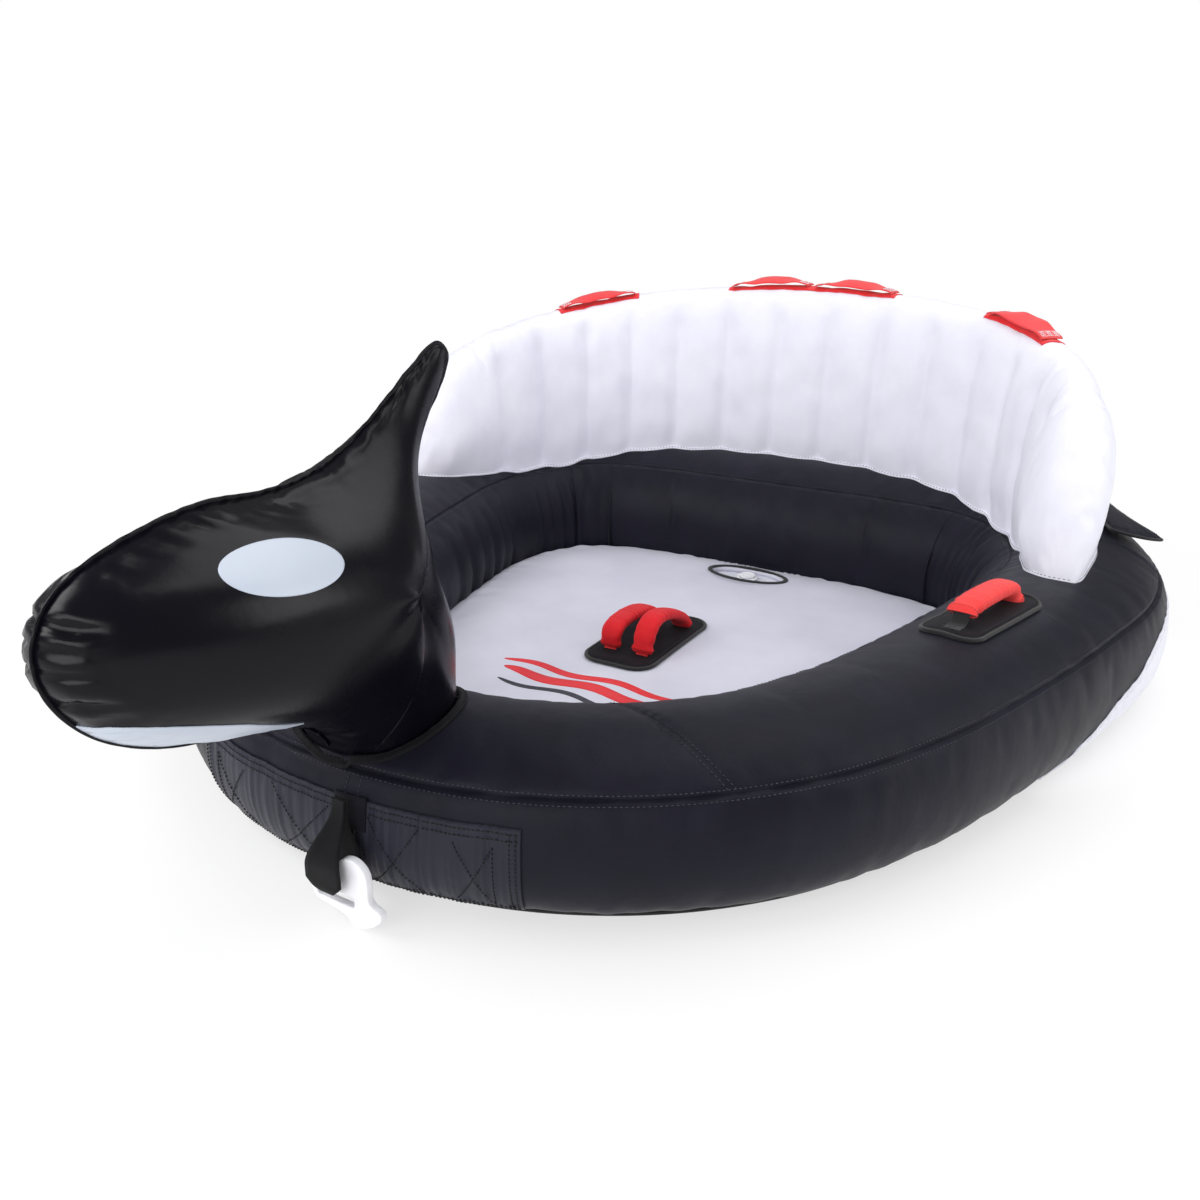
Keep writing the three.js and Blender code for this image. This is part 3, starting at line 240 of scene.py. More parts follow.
def sweep(path, side, up, section, closed=False, caps=True):
    """Points and faces of a section of (side, up) offsets, one for each path point, with ends closed."""
    path, side, up = (np.asarray(a, float) for a in (path, side, up))
    section = np.asarray(section, float)
    if section.ndim == 2:
        section = np.broadcast_to(section, (len(path),) + section.shape)
    points = path[:, None] + side[:, None] * section[..., :1] + up[:, None] * section[..., 1:]
    n, m = points.shape[:2]
    faces = grid_faces(n, m, closed, True).tolist()
    if caps and not closed:
        faces.append(list(range(m))[::-1])
        faces.append([(n - 1) * m + k for k in range(m)])
    return points, faces


def oriented(points, faces):
    """The faces, turned round if they point into the solid."""
    p = np.asarray(points, float).reshape(-1, 3)
    p = p - p.mean(axis=0)
    volume = sum(p[f[0]] @ np.cross(p[f[k]], p[f[k + 1]]) for f in faces for k in range(1, len(f) - 1))
    return [f[::-1] for f in faces] if volume < 0 else faces


def add_sweep(name, path, side, up, section, material, body=ROOT, closed=False):
    points, faces = sweep(path, side, up, section, closed)
    uv = grid_uv(points)
    return add_mesh(name, points, oriented(points, faces), material, body, uv)


def circle(radius, count=10, squash=1.0):
    angle = np.linspace(0, 2 * math.pi, count, endpoint=False)
    return np.stack([radius * np.cos(angle), squash * radius * np.sin(angle)], -1)


def rounded_box(half_width, half_height, radius, count=5):
    """Outline of a rounded rectangle as (side, up)."""
    out = []
    for k, (sx, sy) in enumerate(((1, 1), (-1, 1), (-1, -1), (1, -1))):
        for a in np.linspace(0, math.pi / 2, count):
            angle = a + k * math.pi / 2
            out.append(
                (
                    sx * (half_width - radius) + radius * math.cos(angle),
                    sy * (half_height - radius) + radius * math.sin(angle),
                )
            )
    return np.array(out)


def add_stitches(name, lines, material, pitch=0.006, share=0.62, radius=0.0006, body=ROOT):
    """Rows of single stitches. Each line is (points, normals) of a seam's thread path."""
    ring = circle(1.0, 4)
    points, faces = [], []
    for path, normals in lines:
        line = Path(path)
        normal_line = np.asarray(normals, float)
        count = max(int(line.length / pitch), 1)
        at = (np.arange(count) + 0.5) / count
        centre = line.at(at)
        along = line.tangent(at, 0.3 / count)
        where = np.interp(at * line.length, line.lengths, np.arange(len(line.p)))
        normal = unit(normal_line[np.clip(np.round(where).astype(int), 0, len(normal_line) - 1)])
        side = unit(np.cross(normal, along))
        half = 0.5 * share * line.length / count
        for c, t, s, n in zip(centre, along, side, normal):
            start = len(points)
            points.append(c - t * half - n * radius)
            for step, fat in ((-0.55, 1.0), (0.55, 1.0)):
                for x, y in ring:
                    points.append(c + t * half * step + s * x * radius * fat + n * y * radius * fat)
            points.append(c + t * half - n * radius)
            for k in range(4):
                k2 = (k + 1) % 4
                faces.append((start, start + 1 + k2, start + 1 + k))
                faces.append((start + 1 + k, start + 1 + k2, start + 5 + k2, start + 5 + k))
                faces.append((start + 9, start + 5 + k, start + 5 + k2))
    return add_mesh(name, np.array(points), faces, material, body)


def lathe(profile, count=48):
    """Points and faces of a profile of (radius, height) turned about the z axis."""
    points, faces, rings = [], [], []
    angle = np.linspace(0, 2 * math.pi, count, endpoint=False)
    for r, z in profile:
        if r < 1e-7:
            rings.append([len(points)])
            points.append((0.0, 0.0, z))
        else:
            rings.append(list(range(len(points), len(points) + count)))
            points += [(r * math.cos(a), r * math.sin(a), z) for a in angle]
    for a, b in zip(rings, rings[1:]):
        for k in range(count):
            k2 = (k + 1) % count
            if len(a) == 1:
                faces.append((a[0], b[k2], b[k]))
            elif len(b) == 1:
                faces.append((a[k], a[k2], b[0]))
            else:
                faces.append((a[k], a[k2], b[k2], b[k]))
    return np.array(points), faces


class Sheet:
    """A grid of surface points that can be sampled between its rows and columns."""

    def __init__(self, p, closed_u=False):
        self.p = p
        self.closed_u = closed_u
        self.n = grid_normals(p, closed_u)

    def at(self, a, b, offset=0.0):
        """Point and normal at column a and row b, both real numbers."""
        a, b, offset = np.broadcast_arrays(*(np.asarray(x, float) for x in (a, b, offset)))
        nu, nv = self.p.shape[:2]
        a = a % nu if self.closed_u else np.clip(a, 0, nu - 1.0001)
        b = np.clip(b, 0, nv - 1.0001)
        i, j = np.floor(a).astype(int) % nu, np.floor(b).astype(int)
        x, y = (a - np.floor(a))[..., None], (b - j)[..., None]
        i2 = (i + 1) % nu

        def mix(g):
            near = g[i, j] * (1 - x) + g[i2, j] * x
            far = g[i, j + 1] * (1 - x) + g[i2, j + 1] * x
            return near * (1 - y) + far * y

        normal = unit(mix(self.n))
        return mix(self.p) + normal * offset[..., None], normal

    def nearest(self, point):
        """Column and row of the grid point nearest to a point."""
        distance = ((self.p - np.asarray(point, float)) ** 2).sum(-1)
        return np.unravel_index(np.argmin(distance), distance.shape)

    def tree(self):
        nu, nv = self.p.shape[:2]
        return BVHTree.FromPolygons(
            self.p.reshape(-1, 3).tolist(), grid_faces(nu, nv, self.closed_u).tolist()
        )


def inflate(name, p, faces, pins, pressure, grow, frames, cap, keep, closed=True, stiffness=15.0, bending=0.5):
    """Runs cloth on a mesh with some points held, and returns the points, moved by at most cap."""
    flat = p.reshape(-1, 3)
    obj = bare_mesh(name, flat, faces)
    group = obj.vertex_groups.new(name="pin")
    pins = np.asarray(pins, float).ravel()
    for weight in np.unique(pins):
        if weight > 0:
            group.add(np.nonzero(pins == weight)[0].tolist(), float(weight), "REPLACE")
    cloth = obj.modifiers.new("cloth", "CLOTH")
    settings = cloth.settings
    settings.quality = 4
    settings.mass = 0.1
    settings.tension_stiffness = stiffness
    settings.compression_stiffness = stiffness
    settings.shear_stiffness = stiffness * 0.4
    settings.bending_stiffness = bending
    settings.tension_damping = 5
    settings.compression_damping = 5
    settings.air_damping = 3
    settings.vertex_group_mass = "pin"
    settings.pin_stiffness = 1
    settings.use_pressure = True
    settings.uniform_pressure_force = pressure
    settings.shrink_min = -grow
    settings.effector_weights.gravity = 0
    cloth.collision_settings.use_collision = False
    cloth.point_cache.frame_start = 1
    cloth.point_cache.frame_end = frames
    scene = bpy.context.scene
    for f in range(1, frames + 1):
        scene.frame_set(f)
    depsgraph = bpy.context.evaluated_depsgraph_get()
    done = obj.evaluated_get(depsgraph).to_mesh()
    moved = np.zeros(len(flat) * 3)
    done.vertices.foreach_get("co", moved)
    obj.evaluated_get(depsgraph).to_mesh_clear()
    scene.frame_set(1)
    bpy.data.objects.remove(obj)
    step = moved.reshape(-1, 3) - flat
    size = np.linalg.norm(step, axis=1, keepdims=True)
    soft = np.tanh(size / cap) * cap / np.maximum(size, 1e-9)
    step = (step * soft).reshape(p.shape)
    # Taut cloth holds few creases: the smooth swelling stays whole, the creases by the share kept.
    smoothed = step.copy()
    for _ in range(60):
        grown = smoothed.copy()
        grown[:, 1:-1] = 0.5 * smoothed[:, 1:-1] + 0.25 * (smoothed[:, 2:] + smoothed[:, :-2])
        around = 0.5 * grown + 0.25 * (np.roll(grown, 1, 0) + np.roll(grown, -1, 0))
        if not closed:
            around[[0, -1]] = grown[[0, -1]]
        smoothed = around
    held = np.minimum(pins.reshape(p.shape[:2]), 1.0)[..., None]
    share = np.maximum(np.broadcast_to(keep, p.shape[:2])[..., None], held)
    return p + smoothed + (step - smoothed) * share


# ------------------------------------------------------------------ materials
class Nodes:
    """Builds a Principled material from short calls."""

    def __init__(self, name):
        self.material = bpy.data.materials.new(name)
        self.material.use_nodes = True
        self.tree = self.material.node_tree
        self.shader = self.tree.nodes["Principled BSDF"]
        self.coordinates = self.tree.nodes.new("ShaderNodeTexCoord")

    def link(self, source, target):
        self.tree.links.new(source, target)

    def set(self, **values):
        for key, value in values.items():
            self.shader.inputs[key.replace("_", " ")].default_value = value

    def scaled(self, scale, space="Object"):
        mapping = self.tree.nodes.new("ShaderNodeMapping")
        mapping.inputs["Scale"].default_value = scale if hasattr(scale, "__len__") else (scale,) * 3
        self.link(self.coordinates.outputs[space], mapping.inputs["Vector"])
        return mapping.outputs["Vector"]

    def noise(self, scale, detail=4.0, rough=0.55, space="Object"):
        node = self.tree.nodes.new("ShaderNodeTexNoise")
        node.inputs["Scale"].default_value = 1.0
        node.inputs["Detail"].default_value = detail
        node.inputs["Roughness"].default_value = rough
        self.link(self.scaled(scale, space), node.inputs["Vector"])
        return node.outputs["Fac"]

    def cells(self, scale):
        node = self.tree.nodes.new("ShaderNodeTexVoronoi")
        node.inputs["Scale"].default_value = 1.0
        self.link(self.scaled(scale), node.inputs["Vector"])
        return node.outputs["Distance"]

    def bands(self, scale, direction="X", distortion=0.0, space="UV"):
        node = self.tree.nodes.new("ShaderNodeTexWave")
        node.bands_direction = direction
        node.inputs["Scale"].default_value = scale
        node.inputs["Distortion"].default_value = distortion
        self.link(self.coordinates.outputs[space], node.inputs["Vector"])
        return node.outputs["Fac"]

    def math(self, operation, a, b=0.0):
        node = self.tree.nodes.new("ShaderNodeMath")
        node.operation = operation
        for socket, value in zip(node.inputs, (a, b)):
            if isinstance(value, (int, float)):
                socket.default_value = value
            else:
                self.link(value, socket)
        return node.outputs["Value"]

    def ramp(self, value, stops):
        node = self.tree.nodes.new("ShaderNodeValToRGB")
        elements = node.color_ramp.elements
        while len(elements) < len(stops):
            elements.new(0.5)
        for element, (position, colour) in zip(elements, stops):
            element.position = position
            element.color = (*linear(colour), 1.0)
        self.link(value, node.inputs["Fac"])
        return node.outputs["Color"]

    def bump(self, height, strength, distance, below=None):
        node = self.tree.nodes.new("ShaderNodeBump")
        node.inputs["Strength"].default_value = strength
        node.inputs["Distance"].default_value = distance
        self.link(height, node.inputs["Height"])
        if below is not None:
            self.link(below, node.inputs["Normal"])
        return node.outputs["Normal"]

    def finish(self, colour=None, normal=None, roughness=None):
        for value, key in ((colour, "Base Color"), (normal, "Normal"), (roughness, "Roughness")):
            if value is not None:
                self.link(value, self.shader.inputs[key])
        return self.material


def linear(colour):
    """Screen colour from 0 to 255 as linear light."""
    c = np.asarray(colour, float) / 255.0
    return np.where(c <= 0.04045, c / 12.92, ((c + 0.055) / 1.055) ** 2.4).tolist()


def nylon(name, dark, light, rough=0.55, sheen=0.25, weave=0.2, gloss=0.42):
    """Coated pack cloth: fine square weave, soft creases and a faint sheen."""
    n = Nodes(name)
    tone = n.noise(9.0, 5.0)
    fine = n.noise(420.0, 2.0)
    mixed = n.math("ADD", n.math("MULTIPLY", tone, 0.8), n.math("MULTIPLY", fine, 0.2))
    colour = n.ramp(mixed, ((0.25, dark), (0.75, light)))
    thread = n.math("MULTIPLY", n.bands(430.0, "X"), n.bands(430.0, "Y"))
    crease = n.bump(n.noise((38.0, 38.0, 24.0), 5.0, 0.6), 0.22, 0.004)
    normal = n.bump(thread, weave, 0.0006, crease)
    n.set(Roughness=rough, Sheen_Weight=sheen, Sheen_Roughness=0.4)
    n.shader.inputs["Specular IOR Level"].default_value = gloss
    return n.finish(colour, normal, n.math("ADD", n.math("MULTIPLY", n.noise(22.0), 0.16), rough - 0.08))


def vinyl(name, dark, light, rough=0.3, coat=0.25, grain=0.05, gloss=0.5):
    """Calendered PVC film: smooth, faintly mottled, with a soft gloss."""
    n = Nodes(name)
    colour = n.ramp(n.noise(6.0, 4.0), ((0.3, dark), (0.7, light)))
    ripple = n.bump(n.noise(30.0, 3.0), 0.10, 0.004)
    normal = n.bump(n.cells(900.0), grain, 0.0003, ripple)
    n.set(Coat_Weight=coat, Coat_Roughness=0.22)
    n.shader.inputs["Specular IOR Level"].default_value = gloss
    return n.finish(colour, normal, n.math("ADD", n.math("MULTIPLY", n.noise(15.0, 5.0), 0.12), rough - 0.06))


def webbing(name, dark, light, rough=0.75, rib=900.0):
    """Flat woven webbing: raised ribs across the strap and a fine twill along it."""
    n = Nodes(name)
    ribs = n.bands(rib / 10.0, "X")
    twill = n.bands(rib / 6.0, "DIAGONAL", 0.3)
    colour = n.ramp(n.math("ADD", n.math("MULTIPLY", ribs, 0.5), n.math("MULTIPLY", n.noise(160.0), 0.5)),
                    ((0.2, dark), (0.8, light)))
    normal = n.bump(twill, 0.35, 0.0005, n.bump(ribs, 0.5, 0.0008))
    n.set(Roughness=rough, Sheen_Weight=0.2)
    return n.finish(colour, normal)


def plastic(name, dark, light, rough=0.35):
    """Injection-moulded plastic with a light moulding texture."""
    n = Nodes(name)
    colour = n.ramp(n.noise(40.0, 3.0), ((0.3, dark), (0.7, light)))
    normal = n.bump(n.cells(1400.0), 0.08, 0.0003, n.bump(n.noise(60.0), 0.06, 0.002))
    n.set(Coat_Weight=0.15)
    return n.finish(colour, normal, n.math("ADD", n.math("MULTIPLY", n.noise(90.0), 0.15), rough - 0.05))


MATERIALS = {
    "dark_nylon": nylon("dark_nylon", (16, 15, 26), (26, 25, 40), 0.46, 0.05, gloss=0.16),
    "under_nylon": nylon("under_nylon", (14, 14, 22), (22, 22, 32), 0.65, 0.03, gloss=0.16),
    "white_nylon": nylon("white_nylon", (226, 226, 240), (240, 240, 250), 0.5, 0.2, 0.12),
    "black_vinyl": vinyl("black_vinyl", (6, 6, 13), (10, 10, 18), 0.27, 0.02, gloss=0.19),
    "pale_vinyl": vinyl("pale_vinyl", (184, 193, 208), (195, 203, 217), 0.36, 0.1, gloss=0.35),
    "floor_vinyl": vinyl("floor_vinyl", (196, 196, 210), (208, 208, 221), 0.5, 0.06, 0.12, gloss=0.3),
    "anchor_web": nylon("anchor_web", (13, 12, 20), (22, 21, 32), 0.6, 0.03, 0.6, gloss=0.14),
    "panel_nylon": nylon("panel_nylon", (28, 28, 40), (42, 42, 57), 0.44, 0.05, 0.3, gloss=0.24),
    "white_air": vinyl("white_air", (196, 197, 208), (214, 215, 226), 0.5, 0.1),
    "air_vinyl": vinyl("air_vinyl", (140, 148, 156), (158, 166, 174), 0.42, 0.15),
    "black_webbing": webbing("black_webbing", (10, 10, 12), (24, 24, 28)),
    "black_mesh_cloth": nylon("black_mesh_cloth", (8, 8, 13), (16, 15, 24), 0.6, 0.04, 0.5, gloss=0.18),
    "tow_cloth": nylon("tow_cloth", (10, 10, 12), (26, 26, 29), 0.66, 0.03, 0.7, gloss=0.14),
    "red_webbing": webbing("red_webbing", (222, 20, 30), (248, 44, 50), 0.65),
    "red_sleeve": nylon("red_sleeve", (200, 14, 26), (232, 30, 40), 0.62, 0.08, 0.5, gloss=0.25),
    "coral_sleeve": nylon("coral_sleeve", (240, 54, 56), (255, 84, 80), 0.6, 0.08, 0.5, gloss=0.25),
    "white_plastic": plastic("white_plastic", (232, 232, 238), (244, 244, 248)),
    "valve_plastic": plastic("valve_plastic", (34, 36, 40), (48, 50, 55), 0.42),
    "zip_plastic": plastic("zip_plastic", (22, 22, 25), (36, 36, 40), 0.45),
    "dark_thread": plastic("dark_thread", (6, 6, 8), (14, 14, 18), 0.8),
    "seam_thread": plastic("seam_thread", (40, 40, 52), (60, 60, 74), 0.7),
    "grey_thread": plastic("grey_thread", (52, 52, 62), (74, 74, 86), 0.7),
    "white_thread": plastic("white_thread", (225, 225, 232), (245, 245, 248), 0.7),
    "grey_print": vinyl("grey_print", (150, 152, 164), (170, 172, 184), 0.5, 0.05),
    "red_print": vinyl("red_print", (206, 24, 34), (226, 40, 46), 0.45, 0.1),
    "dark_print": vinyl("dark_print", (40, 40, 50), (54, 54, 66), 0.45, 0.1),
}

# ------------------------------------------------------------------ ring surface
# Plan of the ring's outer edge, port half, front to rear, as the CAD part has it.
PLAN_HALF = (
    (0, -0.992), (0.225, -0.958), (0.425, -0.857), (0.585, -0.703), (0.69, -0.52), (0.774, -0.285),
    (0.842, -0.04), (0.89, 0.211), (0.872, 0.437), (0.762, 0.662), (0.56, 0.81), (0.3, 0.862),
    (0.15, 0.865), (0, 0.865),
)  # fmt: skip
# Section of the ring as shares of its half width (outward) and of its height.
RING_SECTION = (
    (0.68, 0.042), (0.9, 0.085), (1.02, 0.22), (1.055, 0.46), (0.985, 0.72), (0.82, 0.87),
    (0.55, 0.965), (0.25, 1.0), (-0.05, 0.99), (-0.35, 0.94), (-0.6, 0.85), (-0.8, 0.72),
    (-0.93, 0.55), (-0.985, 0.36), (-0.975, 0.18), (-0.92, 0.03),
)  # fmt: skip
OUTER_SEAM, INNER_SEAM = 4.45, 10
HALF_WIDTH = (0.160, 0.188)
HEIGHT = (0.245, 0.288)

plan = Path(catmull([*PLAN_HALF, *((-x, y) for x, y in PLAN_HALF[-2:0:-1])], True), closed=True)
section = np.array(RING_SECTION)
# The CAD part's spline through the section points, uniform, one span for each pair of points.
section_dense = []
for k in range(len(section) - 1):
    a, b, c, d = (section[min(max(k + step, 0), len(section) - 1)] for step in (-1, 0, 1, 2))
    s = np.linspace(0, 1, 40, endpoint=False)[:, None]
    section_dense.append(
        b + 0.5 * (c - a) * s + (a - 2.5 * b + 2 * c - 0.5 * d) * s**2 + (1.5 * (b - c) + 0.5 * (d - a)) * s**3
    )
section_dense = np.vstack([*section_dense, section[-1:]])
section_share = np.linspace(0, 1, len(section_dense))
T_OUTER, T_INNER = (k / (len(section) - 1) for k in (OUTER_SEAM, INNER_SEAM))


def ring_frame(u):
    """Outer edge point, outward direction, half width and height at share u round the plan."""
    edge = plan.at(u)
    tangent = plan.tangent(u, 1e-3)
    out = np.stack([tangent[..., 1], -tangent[..., 0]], -1)
    share = (edge[..., 1] - PLAN_HALF[0][1]) / (PLAN_HALF[-1][1] - PLAN_HALF[0][1])
    half = HALF_WIDTH[0] + (HALF_WIDTH[1] - HALF_WIDTH[0]) * share
    height = HEIGHT[0] + (HEIGHT[1] - HEIGHT[0]) * share
    return edge, out, half, height


def ring_points(us, ts, depth=0.0):
    """Grid of ring surface points for shares round the plan and along the section."""
    edge, out, half, height = ring_frame(us)
    middle = edge - out * half[:, None]
    p = np.stack([np.interp(ts, section_share, section_dense[:, k]) for k in (0, 1)], -1)
    across = half[:, None] * p[None, :, 0]
    up = height[:, None] * p[None, :, 1]
    slope = np.stack([np.gradient(across, axis=1), np.gradient(up, axis=1)], -1)
    slope = unit(slope)
    across = across - depth * slope[..., 1]
    up = up + depth * slope[..., 0]
    points = middle[:, None] + out[:, None] * across[..., None]
    return np.concatenate([points, up[..., None]], -1)


COLUMNS = 520
ROWS = (20, 34, 24)  # outer band, top panel, inner band
row_t = np.concatenate(
    [
        np.linspace(0, T_OUTER, ROWS[0] + 1),
        np.linspace(T_OUTER, T_INNER, ROWS[1] + 1)[1:],
        np.linspace(T_INNER, 1, ROWS[2] + 1)[1:],
    ]
)
SEAM_ROWS = (ROWS[0], ROWS[0] + ROWS[1])
column_u = np.arange(COLUMNS) / COLUMNS
# Seams across the ring, where two lengths of cloth meet: shares round the plan from the front.
CROSS_SEAMS = (0.094, 0.906, 0.305, 0.695)
SEAM_LEAN = 0.030  # how far round the plan a cross seam has run by the time it reaches the inner band
FOLD_CORNERS = (0.352, 0.648, 0.24, 0.76)


def seam_column(seam, row):
    """Column of a cross seam at a row of the top panel."""
    lean = SEAM_LEAN if abs(seam - 0.5) > 0.3 else 0.0
    lean = -lean if seam < 0.5 else lean
    share = (np.asarray(row, float) - SEAM_ROWS[0]) / (SEAM_ROWS[1] - SEAM_ROWS[0])
    return (seam + lean * share) * COLUMNS


def ring_sheet():
    base = ring_points(column_u, row_t)
    rows = len(row_t)
    row_index = np.arange(rows)
    # Distance of each row from the nearest lengthwise seam, and of each column from a cross seam.
    to_row = np.min([np.abs(row_index - seam) for seam in (0, *SEAM_ROWS, rows - 1)], axis=0)
    on_top = (row_index >= SEAM_ROWS[0]) & (row_index <= SEAM_ROWS[1])
    seams = np.stack([seam_column(seam, row_index) for seam in CROSS_SEAMS])
    gap = np.abs((np.arange(COLUMNS)[:, None, None] - seams[None] + COLUMNS / 2) % COLUMNS - COLUMNS / 2)
    gap = gap.min(axis=1) + 99.0 * ~on_top
    start = base - grid_normals(base, True) * 0.004
    # A seam is a little shorter than the cloth beside it, so the cloth gathers along it.
    gather = np.exp(-((to_row / 5.0) ** 2))[None, :]
    phase = column_u[:, None] * COLUMNS
    rng = np.random.default_rng(11)
    ripple = rng.normal(0, 1, (COLUMNS, rows))
    for _ in range(2):
        ripple = 0.5 * ripple + 0.25 * (np.roll(ripple, 1, 0) + np.roll(ripple, -1, 0))
    for _ in range(9):
        ripple[:, 1:-1] = 0.4 * ripple[:, 1:-1] + 0.3 * (ripple[:, 2:] + ripple[:, :-2])
    ripple /= ripple.std()
    normal = grid_normals(base, True)
    start += normal * (ripple * gather * 0.0011 * (to_row > 0))[..., None]
    # The inner band has slack at the rear corners, and falls there in upright folds.
    depth = (row_index - SEAM_ROWS[1]) / (rows - 1 - SEAM_ROWS[1])
    hang = smooth(0.05, 0.45, depth) * smooth(1.0, 0.9, depth)
    for corner in FOLD_CORNERS:
        away = np.abs((column_u - corner + 0.5) % 1 - 0.5)
        fold = np.sin(2 * math.pi * column_u * COLUMNS / 7.0 + 2.5 * wave_noise(column_u, 15, 6, 3, 12))
        fold = np.minimum(fold, 0.35) * np.exp(-((away / 0.030) ** 2))
        start += normal * (fold[:, None] * hang[None] * 0.0055)[..., None]
    pins = np.zeros(base.shape[:2])
    pins[:, [0, -1]] = 1.0
    pins[:, list(SEAM_ROWS)] = 1.0
    pins[gap < 0.5] = 0.9
    # Creases stay short and close to the seams on the top, and longer on the two bands.
    keep = np.interp(row_index, (0, ROWS[0] - 4, SEAM_ROWS[0] + 5, SEAM_ROWS[1] - 5, SEAM_ROWS[1] + 4, rows - 1),
                     (0.42, 0.30, 0.12, 0.16, 0.45, 0.6))  # fmt: skip
    faces = grid_faces(COLUMNS, rows, True)
    moved = inflate("ring_cloth", start, faces, pins, 6.0, 0.024, 22, 0.010, keep[None])
    return Sheet(moved, True)


ring = ring_sheet()
ring_tree = ring.tree()
DOWN = Vector((0, 0, -1))


def ring_height(x, y):
    """Height of the cover straight under a point in plan, or nothing outside it."""
    hit = ring_tree.ray_cast(Vector((x, y, 1.0)), DOWN)[0]
    return None if hit is None else hit.z


# ------------------------------------------------------------------ whale head surface
# Centre profile as (y, z), from the nose over the back and the fin and down the neck.
HEAD_PROFILE = (
    (-1.346, 0.470), (-1.330, 0.511), (-1.288, 0.542), (-1.215, 0.565), (-1.130, 0.576), (-1.050, 0.570),
    (-0.985, 0.573), (-0.915, 0.594), (-0.845, 0.634), (-0.775, 0.680), (-0.722, 0.706), (-0.702, 0.690),
    (-0.722, 0.648), (-0.768, 0.596), (-0.806, 0.540), (-0.820, 0.480), (-0.806, 0.410), (-0.783, 0.330),
    (-0.774, 0.250), (-0.776, 0.090), (-0.873, 0.060), (-0.966, 0.090), (-0.971, 0.200), (-1.000, 0.248),
    (-1.068, 0.284), (-1.150, 0.303), (-1.235, 0.330), (-1.300, 0.372), (-1.338, 0.425),
)  # fmt: skip
HEAD_CENTRE = np.array((-0.940, 0.440))
HEAD_FULLNESS = 1.06
FIN_ROOT, FIN_THIN, FIN_THINNESS = 0.470, 0.640, 0.62
HEAD_COLUMNS, HEAD_ROWS = 360, 44
HEAD_FOOT = 0.195  # the head ends under the cover, at this height
NECK_Y = -0.872
head_rim = Path(catmull(HEAD_PROFILE, True), closed=True)


def solve_pressure(cell=0.005):
    """Air pressure solution over the head's profile, zero on its edge, as a function of (y, z)."""
    rim = head_rim.at(np.linspace(0, 1, 600, endpoint=False))
    low = rim.min(axis=0) - 2 * cell
    counts = np.ceil((rim.max(axis=0) - low) / cell).astype(int) + 3
    y = low[0] + cell * np.arange(counts[0])[:, None]
    z = low[1] + cell * np.arange(counts[1])[None, :]
    inside = np.zeros(counts, bool)
    for (ay, az), (by, bz) in zip(rim, np.roll(rim, 1, axis=0)):
        crossing = (az > z) != (bz > z)
        if az != bz:
            inside ^= crossing & (y < (by - ay) * (z - az) / (bz - az) + ay)
    parity = (np.add.outer(np.arange(counts[0]), np.arange(counts[1])) % 2).astype(bool)
    field = np.zeros(counts)
    relax = 1.94
    for _ in range(500):
        for colour in (inside & parity, inside & ~parity):
            around = np.roll(field, 1, 0) + np.roll(field, -1, 0) + np.roll(field, 1, 1) + np.roll(field, -1, 1)
            field = np.where(colour, field + relax * ((around + cell * cell) / 4 - field), field)

    def pressure(py, pz):
        u = np.clip((py - low[0]) / cell, 0, counts[0] - 1.001)
        v = np.clip((pz - low[1]) / cell, 0, counts[1] - 1.001)
        i, j = u.astype(int), v.astype(int)
        x, w = u - i, v - j
        near = field[i, j] * (1 - x) + field[i + 1, j] * x
        far = field[i, j + 1] * (1 - x) + field[i + 1, j + 1] * x
        return near * (1 - w) + far * w

    return pressure


pressure = solve_pressure()


def head_half_width(y, z):
    thin = 1 + (FIN_THINNESS - 1) * smooth(FIN_ROOT, FIN_THIN, z)
    return HEAD_FULLNESS * thin * np.sqrt(2 * np.maximum(pressure(y, z), 0))


head_x = (np.arange(HEAD_ROWS) + 1) / HEAD_ROWS
head_shares = 0.35 * head_x + 0.65 * (1 - (1 - head_x) ** 2)  # closer together towards the weld


def head_side(shares, columns):
    """Half widths and (y, z) points at shares of the way from the centre to the rim."""
    arm = head_rim.at(columns) - HEAD_CENTRE
    yz = HEAD_CENTRE + arm[:, None] * shares[None, :, None]
    p = pressure(yz[..., 0], yz[..., 1])
    # Near the rim the pressure falls off evenly to nothing, whatever the grid step.
    close, near = 0.95, 0.90
    arm_at = lambda s: pressure(*(HEAD_CENTRE + arm * s).T)[:, None]
    p_close, p_near = arm_at(close), arm_at(near)
    g = (1 - shares)[None, :]
    k = 1 - close
    slope = (4 * p_close - p_near) / (2 * k)
    curve = (p_near - 2 * p_close) / (2 * k * k)
    p = np.where(shares[None, :] > close, slope * g + curve * g * g, p)
    thin = 1 + (FIN_THINNESS - 1) * smooth(FIN_ROOT, FIN_THIN, yz[..., 1])
    return HEAD_FULLNESS * thin * np.sqrt(2 * np.maximum(p, 0)), yz


